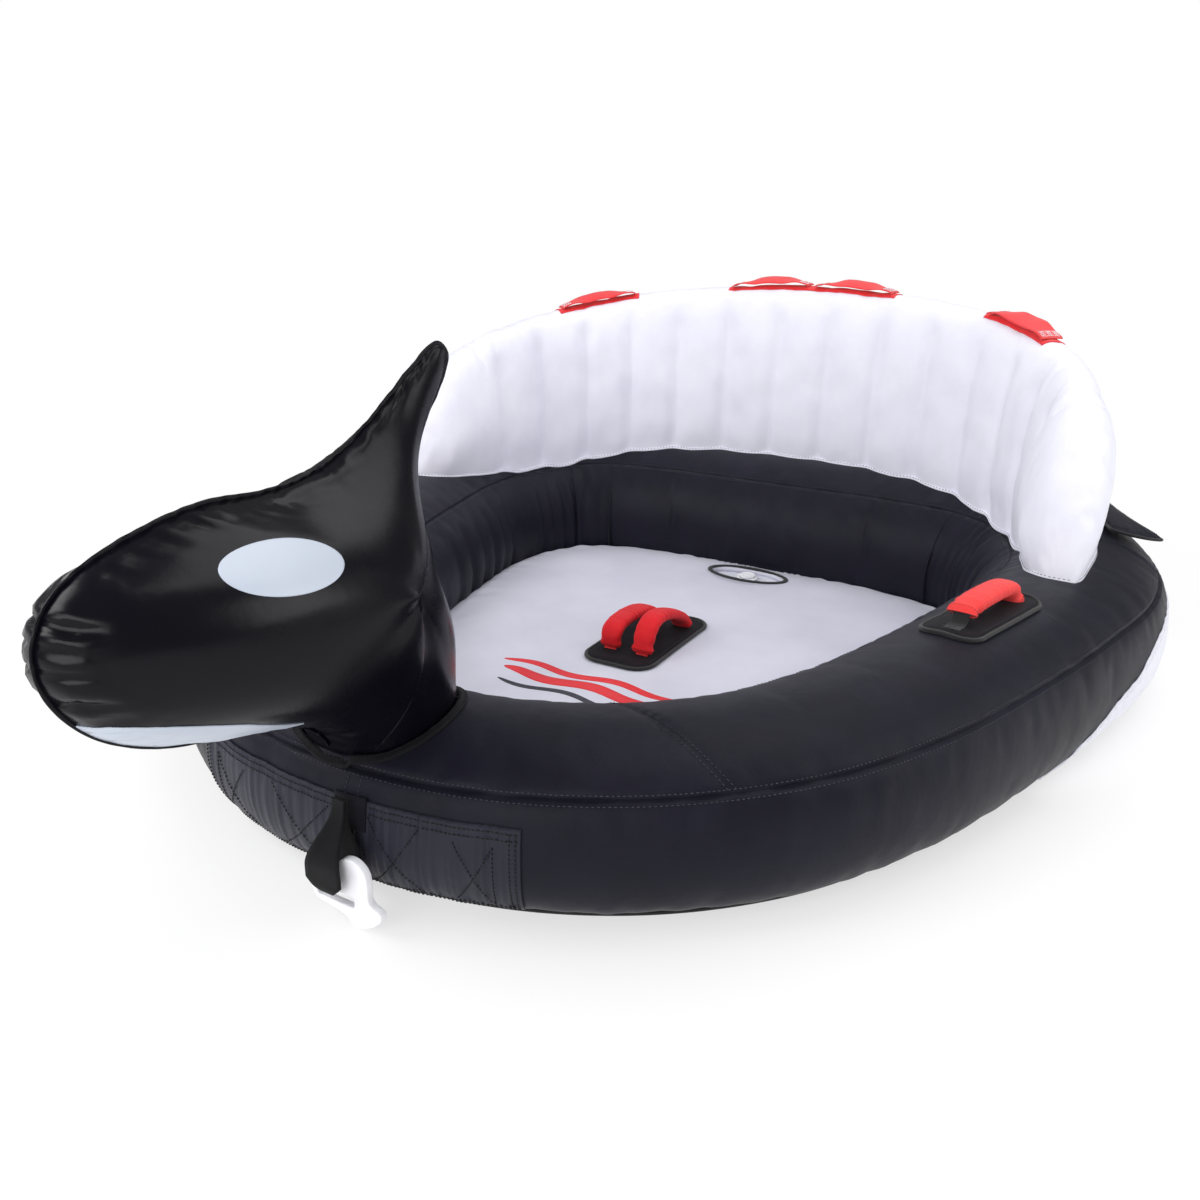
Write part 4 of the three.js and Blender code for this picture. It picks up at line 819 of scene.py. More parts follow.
def head_sheet():
    """Grid with one column for each step round the rim, from the port side over the weld to starboard."""
    columns = np.arange(HEAD_COLUMNS) / HEAD_COLUMNS
    width, yz = head_side(head_shares, columns)
    port = np.concatenate([width[..., None], yz], -1)
    starboard = port[:, -2::-1] * (-1, 1, 1)
    p = np.concatenate([port, starboard], 1)
    rng = np.random.default_rng(5)
    ripple = rng.normal(0, 1, p.shape[:2])
    for _ in range(3):
        ripple = 0.5 * ripple + 0.25 * (np.roll(ripple, 1, 0) + np.roll(ripple, -1, 0))
    for _ in range(6):
        ripple[:, 1:-1] = 0.4 * ripple[:, 1:-1] + 0.3 * (ripple[:, 2:] + ripple[:, :-2])
    ripple /= ripple.std()
    rim = HEAD_ROWS - 1
    to_rim = np.abs(np.arange(p.shape[1]) - rim)[None, :]
    held = to_rim == 0
    normal = grid_normals(p, True)
    sunk = 0.003 * smooth(0, 6, to_rim) - ripple * 0.0007 * np.exp(-((to_rim / 7.0) ** 2)) * ~held
    # Film gathered into a tight curve puckers: deep creases at the nose, small ones over the back.
    rim_yz = head_rim.at(columns)
    travel = np.concatenate([[0], np.cumsum(np.linalg.norm(np.diff(rim_yz, axis=0), axis=1))])
    nose = smooth(-1.31, -1.338, rim_yz[:, 0]) + 0.16 * smooth(-1.20, -1.27, rim_yz[:, 0])
    nose += 0.14 * smooth(0.52, 0.55, rim_yz[:, 1]) + 0.12 * smooth(0.40, 0.34, rim_yz[:, 1]) * (rim_yz[:, 0] < -1.05)
    wave = np.abs(np.sin(math.pi * travel / 0.030 + 1.6 * wave_noise(columns, 22, 7, 5, 19)))
    crease = np.exp(-((wave / 0.26) ** 2)) * nose * (1 + 0.35 * wave_noise(columns, 21, 7, 5, 19))
    reach = np.exp(-((to_rim / 5.0) ** 2)) * smooth(0.0, 1.5, to_rim)
    sunk = sunk + crease[:, None] * reach * 0.0105
    p = p - normal * sunk[..., None]
    pins = np.where(held | (p[..., 2] < HEAD_FOOT + 0.03), 1.0, 0.0)
    keep = np.exp(-((to_rim / 8.0) ** 2)) * 0.9
    return Sheet(inflate("head_cloth", p, head_faces(p.shape[1]), pins, 5.0, 0.014, 16, 0.007, keep), True)


def head_faces(rows, start=0):
    """Quads of the head's grid, with a flat polygon over the small ring in the middle of each side."""
    faces = grid_faces(HEAD_COLUMNS, rows, True, start=start).tolist()
    columns = np.arange(HEAD_COLUMNS) * rows
    faces.append((columns + start).tolist())
    faces.append((columns[::-1] + rows - 1 + start).tolist())
    return faces


head = head_sheet()
rim_angle = np.unwrap(np.arctan2(*(head_rim.at(np.arange(HEAD_COLUMNS + 1) / HEAD_COLUMNS) - HEAD_CENTRE).T))


def head_place(y, z, starboard=False):
    """Column and row of the head's grid at a point of the side view."""
    d = np.stack([np.asarray(y, float), np.asarray(z, float)], -1) - HEAD_CENTRE
    angle = np.arctan2(d[..., 0], d[..., 1])
    turns = np.sign(rim_angle[-1] - rim_angle[0])
    angle = rim_angle[0] + turns * ((turns * (angle - rim_angle[0])) % (2 * math.pi))
    column = np.interp(turns * angle, turns * rim_angle, np.arange(HEAD_COLUMNS + 1))
    reach = np.linalg.norm(head_rim.at(column / HEAD_COLUMNS) - HEAD_CENTRE, axis=-1)
    share = np.linalg.norm(d, axis=-1) / reach
    row = np.interp(share, head_shares, np.arange(HEAD_ROWS))
    return column, (2 * (HEAD_ROWS - 1) - row if starboard else row)


# ------------------------------------------------------------------ backrest surface
# Middle line in plan, port half, from the rear centre to the port end.
BACKREST_HALF = (
    (0, 0.742), (0.240, 0.722), (0.470, 0.636), (0.620, 0.476), (0.692, 0.290), (0.722, 0.150), (0.732, 0.062),
)  # fmt: skip
CREST, CREST_FALL = 0.702, 0.205
BACKREST_THICKNESS = 0.076
END_HEIGHT_RUN, END_WIDTH_RUN = 0.190, 0.110
BACKREST_BASE = 0.190
# Section from the inner face over the crest to the outer, as shares of half thickness and height.
BACKREST_SECTION = (
    (-0.86, 0), (-1.0, 0.36), (-0.86, 0.72), (-0.5, 0.94), (0, 1.0), (0.5, 0.94), (0.86, 0.72), (1.0, 0.36),
    (0.86, 0),
)  # fmt: skip
BACKREST_COLUMNS, BACKREST_ROWS = 330, 64
CHANNELS = 15

backrest_line = Path(catmull([*((-x, y) for x, y in BACKREST_HALF[:0:-1]), *BACKREST_HALF], False))
backrest_outline = Path(catmull(BACKREST_SECTION, False))


def quarter_round(distance, run):
    return np.sqrt(np.maximum(1 - (1 - np.minimum(distance / run, 1)) ** 2, 0))


def backrest_points(places, shares):
    """Grid of points for distances from the starboard end and shares along the section."""
    share = places / backrest_line.length
    origin = backrest_line.at(share)
    tangent = backrest_line.tangent(share)
    side = np.stack([-tangent[:, 1], tangent[:, 0]], -1)
    from_end = np.minimum(places, backrest_line.length - places)
    full = CREST - CREST_FALL * (2 * share - 1) ** 2
    rise = (full - BACKREST_BASE) * quarter_round(from_end, END_HEIGHT_RUN)
    half = BACKREST_THICKNESS * quarter_round(from_end, END_WIDTH_RUN)
    uv = backrest_outline.at(shares)
    # Near its ends the outer face tucks in towards the foot, and the inner face a little.
    tuck = smooth(0.30, 0.03, from_end)[:, None] * smooth(0.95, 0.22, uv[:, 1])[None]
    tuck = tuck * np.where(uv[:, 0] > 0, 0.62, 0.34)[None]
    # The inner face swells over its foot there, into a rounded lobe.
    lobe = smooth(0.02, 0.08, from_end) * smooth(0.34, 0.12, from_end)
    belly = np.exp(-(((uv[:, 1] - 0.48) / 0.22) ** 2)) * (uv[:, 0] < 0)
    tuck = tuck - 0.30 * lobe[:, None] * belly[None]
    flat = origin[:, None] + side[:, None] * (half[:, None] * uv[None, :, 0] * (1 - tuck))[..., None]
    return np.concatenate([flat, (BACKREST_BASE + rise[:, None] * uv[None, :, 1])[..., None]], -1)


def backrest_sheet():
    x = np.linspace(0, 1, BACKREST_COLUMNS)
    end = 0.003
    eased = 0.5 * x + 0.5 * (1 - np.cos(math.pi * x)) / 2
    places = end + (backrest_line.length - 2 * end) * eased
    shares = np.linspace(0, 1, BACKREST_ROWS)
    p = backrest_points(places, shares)
    normal = grid_normals(p)
    lines = backrest_line.length * (0.055 + 0.89 * np.arange(1, CHANNELS) / CHANNELS)
    gap = np.abs(places[:, None] - lines[None, :]).min(axis=1)
    height = backrest_outline.at(shares)[:, 1]
    face = smooth(0.93, 0.80, height) * smooth(0.0, 0.20, height)
    groove = np.exp(-((gap / 0.020) ** 2))[:, None] * face[None, :]
    rng = np.random.default_rng(8)
    ripple = rng.normal(0, 1, p.shape[:2])
    for _ in range(3):
        ripple[1:-1] = 0.5 * ripple[1:-1] + 0.25 * (ripple[2:] + ripple[:-2])
        ripple[:, 1:-1] = 0.5 * ripple[:, 1:-1] + 0.25 * (ripple[:, 2:] + ripple[:, :-2])
    ripple /= ripple.std()
    p = p - normal * (0.003 + 0.011 * groove - 0.0005 * ripple)[..., None]
    step = np.gradient(places)
    held = (gap[:, None] < 0.55 * step[:, None]) & (height[None, :] < 0.80)
    pins = np.where(held, 1.0, 0.0)
    pins[:, [0, -1]] = 1.0
    pins[[0, -1], :] = 1.0
    faces = grid_faces(BACKREST_COLUMNS, BACKREST_ROWS)
    from_end = np.minimum(places, backrest_line.length - places)
    keep = 0.35 + 0.45 * smooth(0.30, 0.05, from_end)[:, None] + 0 * height[None]
    full = inflate("backrest_cloth", p, faces, pins, 4.0, 0.022, 18, 0.010, keep, False)
    settle = smooth(0.0, 0.20, height)[None, :, None]
    return Sheet(p + (full - p) * settle), places


backrest, backrest_places = backrest_sheet()


def on_backrest(distance, share, offset=0.0):
    """Point and normal on the backrest at a distance from its starboard end and a share of the section."""
    column = np.interp(distance, backrest_places, np.arange(BACKREST_COLUMNS))
    return backrest.at(column, np.asarray(share, float) * (BACKREST_ROWS - 1), offset)


# ------------------------------------------------------------------ cover pieces
STITCH_OFFSET = 0.0009


def add_ring_panel(name, node, low, high, inside=None):
    """One length of the cover between two seam rows, as a sheet of cloth with thickness."""
    p = ring.p[:, low : high + 1]
    rows = p.shape[1]
    faces = grid_faces(COLUMNS, rows, True)
    if inside is not None:
        cut = inside(p.reshape(-1, 3))[faces].all(axis=1)
        faces = faces[~cut]
    obj = add_mesh(name, p, faces, "dark_nylon", uv=grid_uv(p))
    solid = obj.modifiers.new("thickness", "SOLIDIFY")
    solid.thickness = 0.002
    solid.offset = -1
    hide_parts(node)
    return obj


def in_neck(points):
    """Which points lie inside the head's outline, so that the cover has its neck hole there."""
    width = head_half_width(points[:, 1], points[:, 2])
    return (np.abs(points[:, 0]) < width * 1.03) & (points[:, 1] < -0.76)


def add_cover():
    top = ROWS[0] + ROWS[1]
    add_ring_panel("cloth_outer_band", "cover_outer_band", 0, ROWS[0])
    add_ring_panel("cloth_top_panel", "cover_top_panel", ROWS[0], top, in_neck)
    add_ring_panel("cloth_inner_band", "cover_inner_band", top, len(row_t) - 1)
    around = np.linspace(0, COLUMNS, 4 * COLUMNS)
    lines = [ring.at(around, seam + side, STITCH_OFFSET) for seam in SEAM_ROWS for side in (-0.8, 0.8)]
    across = np.linspace(SEAM_ROWS[0] + 0.5, SEAM_ROWS[1] - 0.5, 220)
    for seam in CROSS_SEAMS:
        column = seam_column(seam, across)
        lines += [ring.at(column + side, across, STITCH_OFFSET) for side in (-0.5, 0.5)]
    front = np.linspace(1, SEAM_ROWS[0] - 1, 120)
    lines += [ring.at(FRONT_SEAM + side, front, STITCH_OFFSET) for side in (-0.9, 0.9)]
    add_stitches("cover_stitching", [clear_of_neck(line) for line in lines], "seam_thread", 0.007, 0.62, 0.0007)


def clear_of_neck(line):
    points, normals = line
    keep = ~in_neck(points)
    return points[keep], normals[keep]


# Column of the ring grid at the tow strap, on the outer band.
TOW_X = float(np.mean([corner[0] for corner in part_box("tow_strap")]))
FRONT_SEAM = float(np.interp(TOW_X, ring.p[:60, ROWS[0] // 2, 0], np.arange(60)))


def plan_point(u, share):
    """Points in plan at a share of the half width outward from the ring's middle line."""
    edge, out, half, _ = ring_frame(u)
    return edge + out * (half * (share - 1))[:, None]


def add_disc(name, node, outline, hole, rings, heights, thickness, finish):
    """A flat sheet between an inner and an outer outline, with its upper height from a function."""
    shares = np.linspace(0, 1, rings) ** 0.8
    xy = hole[None] + (outline - hole)[None] * shares[:, None, None]
    z = heights(xy, shares[:, None] + 0 * xy[..., 0])
    top = np.concatenate([xy, z[..., None]], -1)
    under = np.concatenate([xy, np.full(z.shape, float(np.min(z)) - thickness)[..., None]], -1)
    loop = np.concatenate([top, under[::-1]], 0)
    count = len(outline)
    faces = grid_faces(2 * rings, count, True, True)
    obj = add_mesh(name, loop, oriented(loop, faces.tolist()), finish, uv=loop[..., :2])
    if node:
        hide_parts(node)
    return obj, top


FLOOR_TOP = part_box("floor_cover")[1][2]
_binding = node_box("floor_opening_binding")
OPENING_CENTRE = (_binding[0] + _binding[1])[:2] / 2
BINDING_WIDTH = 0.009
OPENING_HALF = (_binding[1] - _binding[0])[:2] / 2 - BINDING_WIDTH
FLOOR_DOME = 0.012


def floor_rise(x, y):
    """Height of the domed floor over its edge, with broad soft hollows."""
    r = np.hypot(np.asarray(x) / 0.60, (np.asarray(y) + 0.02) / 0.66)
    dome = FLOOR_DOME * (1 - np.clip(r, 0, 1) ** 2)
    swell = 0.0016 * (np.sin(9 * x + 2) * np.sin(8 * y + 1) + 0.6 * np.sin(17 * x - 6 * y))
    return dome + swell * smooth(1.0, 0.7, r)


def floor_z(x, y):
    return FLOOR_TOP + floor_rise(x, y)


def ellipse(centre, half, count):
    angle = np.linspace(0, 2 * math.pi, count, endpoint=False)
    return centre + half * np.stack([np.cos(angle), np.sin(angle)], -1)


def by_angle(outline, centre, count):
    """The outline's points at even angles round a centre, starting from +X."""
    d = outline - centre
    angle = np.arctan2(d[:, 1], d[:, 0]) % (2 * math.pi)
    order = np.argsort(angle)
    want = np.linspace(0, 2 * math.pi, count, endpoint=False)
    return np.stack([np.interp(want, angle[order], outline[order, k], period=2 * math.pi) for k in (0, 1)], -1)


def add_floor():
    u = np.arange(900) / 900
    count = 420
    hole = ellipse(OPENING_CENTRE, OPENING_HALF, count)
    outer = by_angle(plan_point(u, -0.945), OPENING_CENTRE, count)
    rng = np.random.default_rng(21)
    waves = [(f, rng.uniform(0, 6.28), rng.uniform(0.3, 1)) for f in (37, 53, 71, 94)]

    def heights(xy, share):
        angle = np.arctan2(xy[..., 1] - OPENING_CENTRE[1], xy[..., 0] - OPENING_CENTRE[0])
        pucker = sum(w * np.sin(f * angle + p) for f, p, w in waves) * 0.0011
        edge = smooth(0.82, 0.98, share) * smooth(1.0, 0.99, share)
        return floor_z(xy[..., 0], xy[..., 1]) * 1.0 + pucker * edge - 0.007 * smooth(0.95, 1.0, share)

    add_disc("floor_sheet", "floor_cover", outer, hole, 60, heights, 0.001, "floor_vinyl")
    inner = OPENING_CENTRE + 0.02 * (hole - OPENING_CENTRE)
    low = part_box("floor_bladder")[1][2] - 0.004
    flat = lambda xy, share: low - 0.010 * smooth(0.92, 1.0, share) + 0.0008 * np.sin(60 * xy[..., 0])
    add_disc("floor_air", "floor_bladder", by_angle(plan_point(u, -1.0), OPENING_CENTRE, 240), inner[::1][:420:1][
        np.linspace(0, count, 240, endpoint=False).astype(int)], 24, flat, 0.018, "white_air")
    bottom_outline = by_angle(plan_point(u, 0.63), np.zeros(2), 300)
    bottom_inner = bottom_outline * 0.01
    ground = lambda xy, share: 0.0024 + 0.0007 * np.sin(40 * xy[..., 0] + 3) * np.sin(33 * xy[..., 1])
    add_disc("cloth_bottom", "cover_bottom_panel", bottom_outline, bottom_inner, 40, ground, 0.0008, "under_nylon")
    add_binding(hole)


def add_binding(hole):
    """Elastic edge tape round the opening: a rounded strip, gathered a little."""
    count = 240
    base = ellipse(OPENING_CENTRE, OPENING_HALF + BINDING_WIDTH / 2, count)
    angle = np.arange(count) / count
    outward = unit(base - OPENING_CENTRE)
    path = np.concatenate([base, (floor_z(base[:, 0], base[:, 1]) + 0.0012)[:, None]], -1)
    side = np.concatenate([outward, np.zeros((count, 1))], -1)
    up = np.tile((0.0, 0.0, 1.0), (count, 1))
    fat = 1 + 0.10 * wave_noise(angle, 3, 9, 20, 70)
    section = rounded_box(BINDING_WIDTH / 2 + 0.001, 0.0024, 0.0021)[None] * np.stack([0 * fat + 1, fat], -1)[:, None]
    obj = add_sweep("opening_binding", path, side, up, section, "black_webbing", closed=True)
    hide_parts("floor_opening_binding")
    lines = [(path + side * d + up * 0.0026, up) for d in (-0.002, 0.002)]
    add_stitches("opening_stitching", lines, "dark_thread", 0.005, 0.6, 0.0005)


def add_piping():
    u = np.arange(700) / 700
    edge, out, half, _ = ring_frame(u)
    centre = edge - out * (half * (1 - RING_SECTION[0][0]))[:, None]
    path = np.concatenate([centre, np.full((len(u), 1), 0.0042)], -1)
    side = np.concatenate([out, np.zeros((len(u), 1))], -1)
    up = np.tile((0.0, 0.0, 1.0), (len(u), 1))
    obj = add_sweep("bottom_welt", path, side, up, circle(0.0037, 10), "black_webbing", closed=True)
    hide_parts("bottom_piping")


def add_main_bladder():
    us, ts = np.arange(280) / 280, np.linspace(0.004, 0.996, 44)
    p = ring_points(us, ts, 0.016)
    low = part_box("main_bladder")[0][2]
    mixes = np.linspace(0, 1, 12)[1:-1]
    base = p[:, -1:] * (1 - mixes)[None, :, None] + p[:, :1] * mixes[None, :, None]
    base[..., 2] = low + 0.004
    p = np.concatenate([p, base], 1)
    p[..., 2] = np.maximum(p[..., 2], low + 0.004)
    faces = grid_faces(p.shape[0], p.shape[1], True, True).tolist()
    obj = add_mesh("air_ring", p, oriented(p, faces), "air_vinyl", uv=grid_uv(p))
    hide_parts("main_bladder")


def outer_row(columns, z):
    """Row of the outer band at a height, for each column."""
    rows = np.arange(ROWS[0] + 1)
    out = []
    for a, height in zip(np.broadcast_to(columns, np.shape(z)).ravel(), np.ravel(z)):
        heights = ring.at(a, rows)[0][:, 2]
        out.append(np.interp(height, heights, rows))
    return np.array(out).reshape(np.shape(z))


def add_band_patch(name, node, columns, lows, highs, finish, offset, thickness, rows=22, pucker=0.0, seed=0):
    """A sheet laid on the outer band, from a low to a high height at each column."""
    low, high = outer_row(columns, lows), outer_row(columns, highs)
    b = low[:, None] + (high - low)[:, None] * np.linspace(0, 1, rows)[None]
    a = np.broadcast_to(columns[:, None], b.shape)
    x = np.linspace(0, 1, len(columns))
    wave = pucker * wave_noise(x, seed, 9, 6, 30)[:, None] * (1 + 0.5 * np.sin(3 * np.linspace(0, 1, rows)))[None]
    p, n = ring.at(a, b, offset + wave)
    obj = add_slab(name, p, n, thickness, finish)
    if node:
        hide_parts(node)
    return obj, a, b


def column_at_y(y, starboard=False):
    """Column on the outer edge at a y, on the port side or mirrored."""
    rows = ROWS[0] // 2
    half = COLUMNS // 2
    column = np.interp(y, ring.p[:half, rows, 1], np.arange(half))
    return -column if starboard else column


def column_at_x(x, rear=False):
    rows = ROWS[0] // 2
    span = np.arange(-60, 61) + (COLUMNS // 2 if rear else 0)
    values = ring.p[span % COLUMNS, rows, 0]
    order = np.argsort(values)
    return np.interp(x, values[order], span[order])


def add_hull(side, sign):
    low, high = node_box("hull_patch_" + side)
    front, rear = low[1] + 0.004, high[1] - 0.004
    base, crown = low[2] + 0.001, high[2] - 0.001
    ys = np.linspace(front, rear, 220)
    # The upper edge runs along a strip, then rises in two quadratic curves to its full height.
    foot, knee, shoulder = np.array((-0.19, base + 0.011)), np.array((0.072, 0.124)), np.array((0.38, crown))
    t = np.linspace(0, 1, 40)[:, None]
    lower = (1 - t) ** 2 * foot + 2 * (1 - t) * t * np.array((-0.060, 0.104)) + t**2 * knee
    upper = (1 - t) ** 2 * knee + 2 * (1 - t) * t * np.array((0.150, 0.178)) + t**2 * shoulder
    edge_y, edge_z = np.concatenate([lower, upper[1:]]).T
    tops = np.interp(ys, edge_y, edge_z)
    columns = column_at_y(ys) * sign
    lows = np.full(len(ys), base)
    name = "hull_panel_" + side
    node = "hull_patch_" + side
    _, a, b = add_band_patch(name, node, columns, lows, tops, "white_nylon", 0.0022, 0.0018, 24, 0.0004, 4)
    edge = [ring.at(a[:, -1], b[:, -1] + d, 0.0028) for d in (-0.35, -0.75)]
    add_stitches("hull_stitching_" + side, edge, "white_thread", 0.007, 0.64, 0.0007)


def zigzag(a0, a1, b0, b1, teeth, sheet, offset):
    """A zigzag between two rows or columns of a sheet, as a dense thread path."""
    k = np.linspace(0, teeth, 24 * teeth + 1)
    swing = np.abs((k % 2) - 1)
    return sheet.at(a0 + (a1 - a0) * k / teeth, b0 + (b1 - b0) * swing, offset)


def add_tow_panels():
    box = {side: node_box("tow_reinforcement_" + side) for side, _ in SIDES}
    low, high = box["port"][0][2] + 0.001, box["port"][1][2] - 0.001
    for side, sign in SIDES:
        xs = np.linspace(box[side][0][0] + 0.002, box[side][1][0] - 0.002, 90)
        columns = column_at_x(xs)
        n = len(xs)
        name, node = "tow_panel_" + side, "tow_reinforcement_" + side
        seed = 31 if sign > 0 else 32
        _, a, b = add_band_patch(
            name, node, columns, np.full(n, low), np.full(n, high), "panel_nylon", 0.0030, 0.0022, 26, 0.0006, seed
        )
        skin = Sheet(np.stack([ring.at(a[:, j], b[:, j], 0.0030)[0] for j in range(b.shape[1])], 1))
        rows = b.shape[1] - 1
        lines = []
        for d in (1.2, 2.6):
            lines += [skin.at(np.linspace(1, n - 2, 200), row, 0.0010) for row in (d, rows - d)]
            lines += [skin.at(end, np.linspace(1, rows - 1, 80), 0.0010) for end in (2 * d, n - 1 - 2 * d)]
        near = 8 if sign > 0 else n - 9
        far = near + 30 * sign
        for start, stop in (((near, 3), (far, rows - 3)), ((near, rows - 3), (far, 3))):
            t = np.linspace(0, 1, 90)
            lines.append(skin.at(start[0] + (stop[0] - start[0]) * t, start[1] + (stop[1] - start[1]) * t, 0.001))
        far_end = (n - 14) if sign > 0 else 13
        for dx in (0, 20 * -sign):
            t = np.linspace(0, 1, 60)
            lines.append(skin.at(far_end + dx * t, 4 + (rows - 8) * t, 0.001))
            lines.append(skin.at(far_end + dx * t, rows - 4 - (rows - 8) * t, 0.001))
        add_stitches("tow_panel_stitching_" + side, lines, "dark_thread", 0.0060, 0.8, 0.0009)
    xs = np.linspace(TOW_X - 0.025, TOW_X + 0.025, 16)
    anchor = node_box("tow_anchor")
    columns, n = column_at_x(xs), len(xs)
    lows, highs = np.full(n, anchor[0][2]), np.full(n, anchor[1][2])
    add_band_patch("tow_anchor_web", "tow_anchor", columns, lows, highs, "anchor_web", 0.0054, 0.0018, 12)


def add_zip():
    low, high = node_box("zip_tape")
    xs = np.linspace(low[0], high[0], 120)
    columns = column_at_x(xs, rear=True)
    n = len(xs)
    args = (columns, np.full(n, low[2]), np.full(n, high[2]), "black_webbing", 0.0022, 0.0016, 10)
    _, a, b = add_band_patch("zip_fabric", "zip_tape", *args)
    count = 240
    at = np.linspace(0.02, 0.98, count) * (n - 1)
    column = np.interp(at, np.arange(n), a[:, 0])
    row = np.interp(at, np.arange(n), (b[:, 0] + b[:, -1]) / 2)
    points, faces = [], []
    for k in range(count):
        shift = 0.10 if k % 2 else -0.10
        p, normal = ring.at(column[k], row[k] + shift, 0.0024)
        ahead = unit(ring.at(column[k] + 0.2, row[k] + shift, 0.0024)[0] - p)
        down = np.cross(normal, ahead)
        start = len(points)
        for z in (-0.0006, 0.0014):
            for x, y in ((-1, -1), (1, -1), (1, 1), (-1, 1)):
                points.append(p + ahead * x * 0.0007 + down * y * 0.0019 + normal * z)
        faces.append([start + q for q in (3, 2, 1, 0)])
        faces.append([start + q for q in (4, 5, 6, 7)])
        faces += [[start + q, start + (q + 1) % 4, start + 4 + (q + 1) % 4, start + 4 + q] for q in range(4)]
    add_mesh("zip_teeth", points, oriented(points, faces), "zip_plastic", flat=True)
    for node in ("zip_slider", "zip_pull"):
        soften(frame["nodes"][node], 0.0006, "zip_plastic")


def soften(obj, width, finish):
    """Rounds the sharp edges of a CAD node and gives it its finish."""
    bevel = obj.modifiers.new("edges", "BEVEL")
    bevel.width = width
    bevel.segments = 3
    bevel.limit_method = "ANGLE"
    bevel.angle_limit = math.radians(30)
    if not obj.material_slots:
        obj.data.materials.append(MATERIALS[finish])
    for material_slot in obj.material_slots:
        material_slot.material = MATERIALS[finish]


def neck_outline(count=220):
    """Where the head's foot meets the cover, in plan, as seen from the middle of the neck."""
    centre = np.array([0.0, NECK_Y])
    angle = np.linspace(0, 2 * math.pi, count, endpoint=False)
    out = np.stack([np.cos(angle), np.sin(angle)], -1)
    reach = np.linspace(0.03, 0.16, 66)
    found = []
    for direction in out:
        last = reach[0]
        for r in reach:
            point = centre + direction * r
            level = (ring_height(*point) or 0.0) + 0.004
            if abs(point[0]) > float(head_half_width(point[1], level)):
                break
            last = r
        found.append(last)
    found = np.array(found)
    for _ in range(6):
        found = 0.5 * found + 0.25 * (np.roll(found, 1) + np.roll(found, -1))
    return centre + out * (found + 0.004)[:, None]


def add_neck_hem():
    """Piped hem of the neck hole, lying on the cover round the foot of the head."""
    ring_xy = neck_outline()
    tangent = unit(np.roll(ring_xy, -1, 0) - np.roll(ring_xy, 1, 0))
    outward = np.stack([tangent[:, 1], -tangent[:, 0]], -1)
    run = 0.008
    z = np.array([ring_height(*q) for q in ring_xy])
    wide = np.array([ring_height(*(q + o * run)) for q, o in zip(ring_xy, outward)])
    path = np.concatenate([ring_xy, (z + 0.0015)[:, None]], -1)
    side = unit(np.concatenate([outward * run, (wide - z)[:, None]], -1))
    ahead = unit(np.roll(path, -1, 0) - np.roll(path, 1, 0))
    up = unit(np.cross(ahead, side))
    up *= np.sign(up[:, 2:])
    section = rounded_box(0.0065, 0.0028, 0.0026)
    obj = add_sweep("neck_binding", path, side, up, section, "black_mesh_cloth", closed=True)
    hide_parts("neck_hem")
    lines = [(path + side * d + up * 0.0032, up) for d in (-0.0035, 0.0035)]
    add_stitches("neck_stitching", lines, "dark_thread", 0.006, 0.62, 0.0006)


# ------------------------------------------------------------------ whale head pieces
def add_head():
    points = head.p.reshape(-1, 3)
    uv = grid_uv(head.p)
    obj = add_mesh("head_skin", points, head_faces(head.p.shape[1]), "black_vinyl", uv=uv)
    mesh = bmesh.new()
    mesh.from_mesh(obj.data)
    everything = mesh.verts[:] + mesh.edges[:] + mesh.faces[:]
    result = bmesh.ops.bisect_plane(
        mesh, geom=everything, plane_co=(0, 0, HEAD_FOOT), plane_no=(0, 0, 1), clear_inner=True
    )
    rim = [e for e in result["geom_cut"] if isinstance(e, bmesh.types.BMEdge)]
    bmesh.ops.edgeloop_fill(mesh, edges=rim)
    bmesh.ops.recalc_face_normals(mesh, faces=mesh.faces[:])
    mesh.to_mesh(obj.data)
    mesh.free()
    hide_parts("whale_head")
    add_weld()
    for side, _ in SIDES:
        add_eye(side)
    add_chin()


def add_weld():
    """Flattened bead where the head's two sides are welded together, above the cover."""
    rows = HEAD_ROWS - 1
    at = np.arange(4 * HEAD_COLUMNS) / 4
    p, n = head.at(at, rows)
    seen = p[:, 2] > HEAD_FOOT + 0.02
    start = int(np.argmax(~seen))
    order = (np.arange(len(at)) + start) % len(at)
    order = order[seen[order]]
    p = p[order]
    ahead = unit(np.gradient(p, axis=0))
    side = np.tile((1.0, 0.0, 0.0), (len(p), 1))
    out = unit(np.cross(side, ahead))
    middle = np.array([0.0, *HEAD_CENTRE])
    out *= np.sign(((p - middle) * out).sum(-1))[:, None]
    wobble = wave_noise(np.linspace(0, 1, len(p)), 12, 12, 20, 90)
    p = p + side * (wobble * 0.0006)[:, None]
    section = rounded_box(0.0016, 0.0030, 0.0014)[None] * np.ones((len(p), 1, 1))
    add_sweep("head_weld", p + out * 0.0008, side, out, section, "black_vinyl")


def head_patch_grid(y, z, starboard, offset):
    column, row = head_place(y, z, starboard)
    return head.at(column, row, offset)


EYE_Y, EYE_Z = (node_box("eye_patch_port")[0] + node_box("eye_patch_port")[1])[1:] / 2
EYE_HALF = (0.073, 0.027)
EYE_TILT = -0.10


